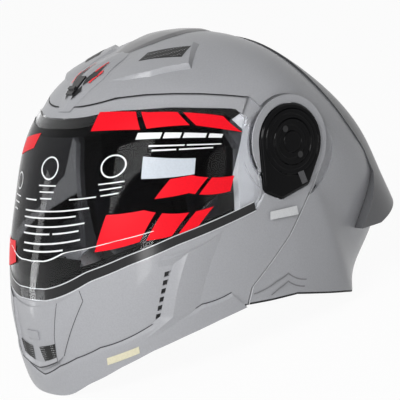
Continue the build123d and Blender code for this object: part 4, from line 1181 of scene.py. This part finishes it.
class HELMET_OT_seam_light_and_shade(bpy.types.Operator):
    """A pale line painted along the chin seam as its highlight, and two dark lines behind it
    painted as the shade of fine creases
    """

    bl_idname = "helmet.edges"
    bl_label = "Seam edge and creases"

    def execute(self, context):
        # A pale line along the seam paints its highlight
        front, rear = (moved(SEAM_LINE, step, 0) for step in SEAM_HIGHLIGHT)
        edge = from_side(net(front, rear, 12, 3) * MM, SEAM_HIGHLIGHT_LIFT)
        nets_piece("seam_edges", both([edge]), "root", "edge_bright")
        # Dark lines paint the shade of two fine creases
        creases = [shade_strip(line) for line in SIDE_SHADE_LINES]
        nets_piece("side_creases", both(creases), "root", "soft_crease")
        return {"FINISHED"}


# Crown spine: half of a low ridge, (turn, angle, height) from the middle outwards
SPINE_TOP = [(0, 57, 0.3), (0, 72, 1.7), (0, 84, 2.3), (0, 103, 1.9), (0, 117, 0.2)]
SPINE_SHOULDER = [(1.4, 57, 0.3), (6.0, 72, 1.5), (8.0, 84, 2.0), (6.8, 103, 1.6), (2.0, 117, 0.2)]
SPINE_EDGE = [(2.4, 56, 0.15), (8.4, 71, 0.2), (10.8, 84, 0.2), (9.2, 104, 0.2), (3.0, 118, 0.15)]
SPINE_PARTS = (("spine_front", slice(0, 2), None), ("spine_ridge", slice(1, 5), "crown_spine"))


class HELMET_OT_spine(bpy.types.Operator):
    """Crown spine: a low dark ridge between the scoops, with sloping shoulders"""

    bl_idname = "helmet.spine"
    bl_label = "Crown spine"

    def execute(self, context):
        for name, part, stands_for in SPINE_PARTS:
            half = [slope(SPINE_TOP[part], SPINE_SHOULDER[part], 20, 10),
                    slope(SPINE_SHOULDER[part], SPINE_EDGE[part], 20, 6)]
            nets_piece(name, both(half), "root", "dark_paint", stands_for, sharp=16)
        return {"FINISHED"}


# Plain plates on the chin bar: name, finish and (turn, angle) corners
LABELS = (
    ("blank_label", "print_paper",
     ([(78.9, -52.3), (80.8, -79.0)], [(77.9, -54.6), (79.4, -80.4)])),
    ("pale_strip", "print_pale",
     ([(26.9, -34.4), (37.5, -36.6)], [(26.3, -35.6), (37.0, -37.8)])),
)
LABEL_LIFT = 1.7 * MM


class HELMET_OT_labels(bpy.types.Operator):
    """A blank label beside the seam and a pale strip along the chin, both plain"""

    bl_idname = "helmet.labels"
    bl_label = "Blank labels"

    def execute(self, context):
        for name, finish_name, corners in LABELS:
            low, high = on_form(*np.array(corners).transpose(2, 0, 1))[..., 1:]
            grid = from_side(net(low, high, 24, 8), LABEL_LIFT)
            nets_piece(name, [grid], "chin_bar", finish_name)
        return {"FINISHED"}


# The photograph's viewpoint: unit vectors to the camera's right, up and back from what it
# looks at, and how far it stands from the hub along each, in metres
VIEW = Matrix((
    (0.58778525, 0.7736668, -0.23653368),
    (-0.04234068, 0.32138916, 0.94600015),
    (0.80790826, -0.54602994, 0.22166538),
)).transposed()
VIEW_FROM_HUB = Vector((2.77 * MM, -51.4 * MM, 1.64))
SENSOR_WIDE = 36
CLIP_START = 0.05
WHITE = (1, 1, 1, 1)
FLOOR_HALF = 6.0
FLOOR_GREY = (0.86, 0.86, 0.86, 1)
FLOOR_ROUGH = 0.9
FLOOR_GLOW_SHARE = 0.95
WORLD_LIGHT = 0.12

# Soft boxes: name, place, width and height in metres, and power in watts
LAMPS = (
    ("key", (1.15, -1.95, 1.75), (1.3, 1.0), 56),
    ("front", (1.7, -1.4, 0.2), (0.35, 0.9), 9),
    ("side", (2.1, -0.1, 0.3), (0.35, 0.4), 1.5),
    ("strip", (-1.7, -1.25, 0.25), (0.22, 1.3), 7),
)


def seen_rays(tree):
    """1 for rays from the camera, through clear plastic or off a gloss, and 0 for others."""
    path = add_node(tree, "LightPath")
    seen = path.outputs["Is Camera Ray"]
    for kind in ("Is Transmission Ray", "Is Glossy Ray"):
        seen = add_node(tree, "Math", {0: seen, 1: path.outputs[kind]}, "MAXIMUM")
    return seen


class HELMET_OT_stage(bpy.types.Operator):
    """Floor, white studio, lamps, and the camera at the photograph's viewing angle"""

    bl_idname = "helmet.stage"
    bl_label = "Stage"

    def execute(self, context):
        scene = context.scene
        lens = bpy.data.cameras.new("camera")
        lens.lens = scene.helmet_sizes.lens
        lens.sensor_width = SENSOR_WIDE
        lens.clip_start = CLIP_START
        camera = placed("camera", lens)
        place = Vector(HUB) + VIEW @ VIEW_FROM_HUB
        camera.matrix_world = Matrix.Translation(place) @ VIEW.to_4x4()
        scene.camera = camera

        floor = bpy.data.meshes.new("floor")
        corners = [(x * FLOOR_HALF, y * FLOOR_HALF, 0)
                   for x, y in ((-1, -1), (1, -1), (1, 1), (-1, 1))]
        floor.from_pydata(corners, [], [(0, 1, 2, 3)])
        piece = placed("floor", floor)
        material, tree, shader, output = new_material("floor_white")
        feed(tree, shader, {"Base Color": FLOOR_GREY, "Roughness": FLOOR_ROUGH})
        share = add_node(tree, "Math", {0: seen_rays(tree), 1: FLOOR_GLOW_SHARE}, "MULTIPLY")
        glow = add_node(tree, "Emission", {"Color": WHITE, "Strength": 1})
        mix = add_node(tree, "MixShader", {0: share, 1: shader, 2: glow})
        feed(tree, output, {"Surface": mix})
        floor.materials.append(material)

        scene.world = bpy.data.worlds.new("studio")
        scene.world.use_nodes = True
        tree = scene.world.node_tree
        tree.nodes.clear()
        dim, bright = (add_node(tree, "Background", {"Color": WHITE, "Strength": strength})
                       for strength in (WORLD_LIGHT, 1))
        mix = add_node(tree, "MixShader", {0: seen_rays(tree), 1: dim, 2: bright})
        add_node(tree, "OutputWorld", {"Surface": mix})

        for lamp in LAMPS:
            box_of_light(*lamp)
        scene.view_settings.view_transform = "Standard"
        return {"FINISHED"}


# Nodes whose finish differs from what their slot is called after
FINISH_OF = {
    "pod_screws_left": "black_gloss", "pod_screws_right": "black_gloss",
    "chin_vent_shutter": "shell_paint", "top_vent_slider": "black_gloss",
    # The rear wing gets the shell paint darkened as painted shade
    # The seal, breath guard and chin liner get a black darkened as painted shade
    "rear_spoiler": "spoiler_paint", "visor_seal": "deep_black",
    "breath_guard": "deep_black", "chin_bar_liner": "deep_black",
}


class HELMET_OT_finishes(bpy.types.Operator):
    """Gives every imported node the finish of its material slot"""

    bl_idname = "helmet.finishes"
    bl_label = "Finishes"

    def execute(self, context):
        for part in frame["record"]["subparts"]:
            node = frame["nodes"][part["node"]]
            node.data.materials.clear()
            node.data.materials.append(mat(FINISH_OF.get(part["node"], part["material_slot"])))
        return {"FINISHED"}


class HELMET_PT_panel(bpy.types.Panel):
    """The helmet's steps in the sidebar"""

    bl_idname = "HELMET_PT_panel"
    bl_label = "Helmet"
    bl_space_type = "VIEW_3D"
    bl_region_type = "UI"
    bl_category = "Helmet"

    def draw(self, context):
        for step in STEPS:
            self.layout.operator(step.bl_idname)


STEPS = (
    HELMET_OT_stage, HELMET_OT_finishes, HELMET_OT_brow, HELMET_OT_scoops,
    HELMET_OT_brow_vent, HELMET_OT_spine, HELMET_OT_seam_light_and_shade, HELMET_OT_labels,
    HELMET_OT_pods, HELMET_OT_chin, HELMET_OT_visor_trim, HELMET_OT_print,
    HELMET_OT_pads, HELMET_OT_cloth,
)
GROUPS = (HelmetColours, HelmetSizes)


def register():
    for cls in (*GROUPS, *STEPS, HELMET_PT_panel):
        bpy.utils.register_class(cls)
    bpy.types.Scene.helmet_colours = bpy.props.PointerProperty(type=HelmetColours)
    bpy.types.Scene.helmet_sizes = bpy.props.PointerProperty(type=HelmetSizes)


def unregister():
    del bpy.types.Scene.helmet_sizes
    del bpy.types.Scene.helmet_colours
    for cls in reversed((*GROUPS, *STEPS, HELMET_PT_panel)):
        bpy.utils.unregister_class(cls)


def main():
    register()
    for step in STEPS:
        getattr(bpy.ops.helmet, step.bl_idname.removeprefix("helmet."))()


if __name__ == "__main__":
    main()
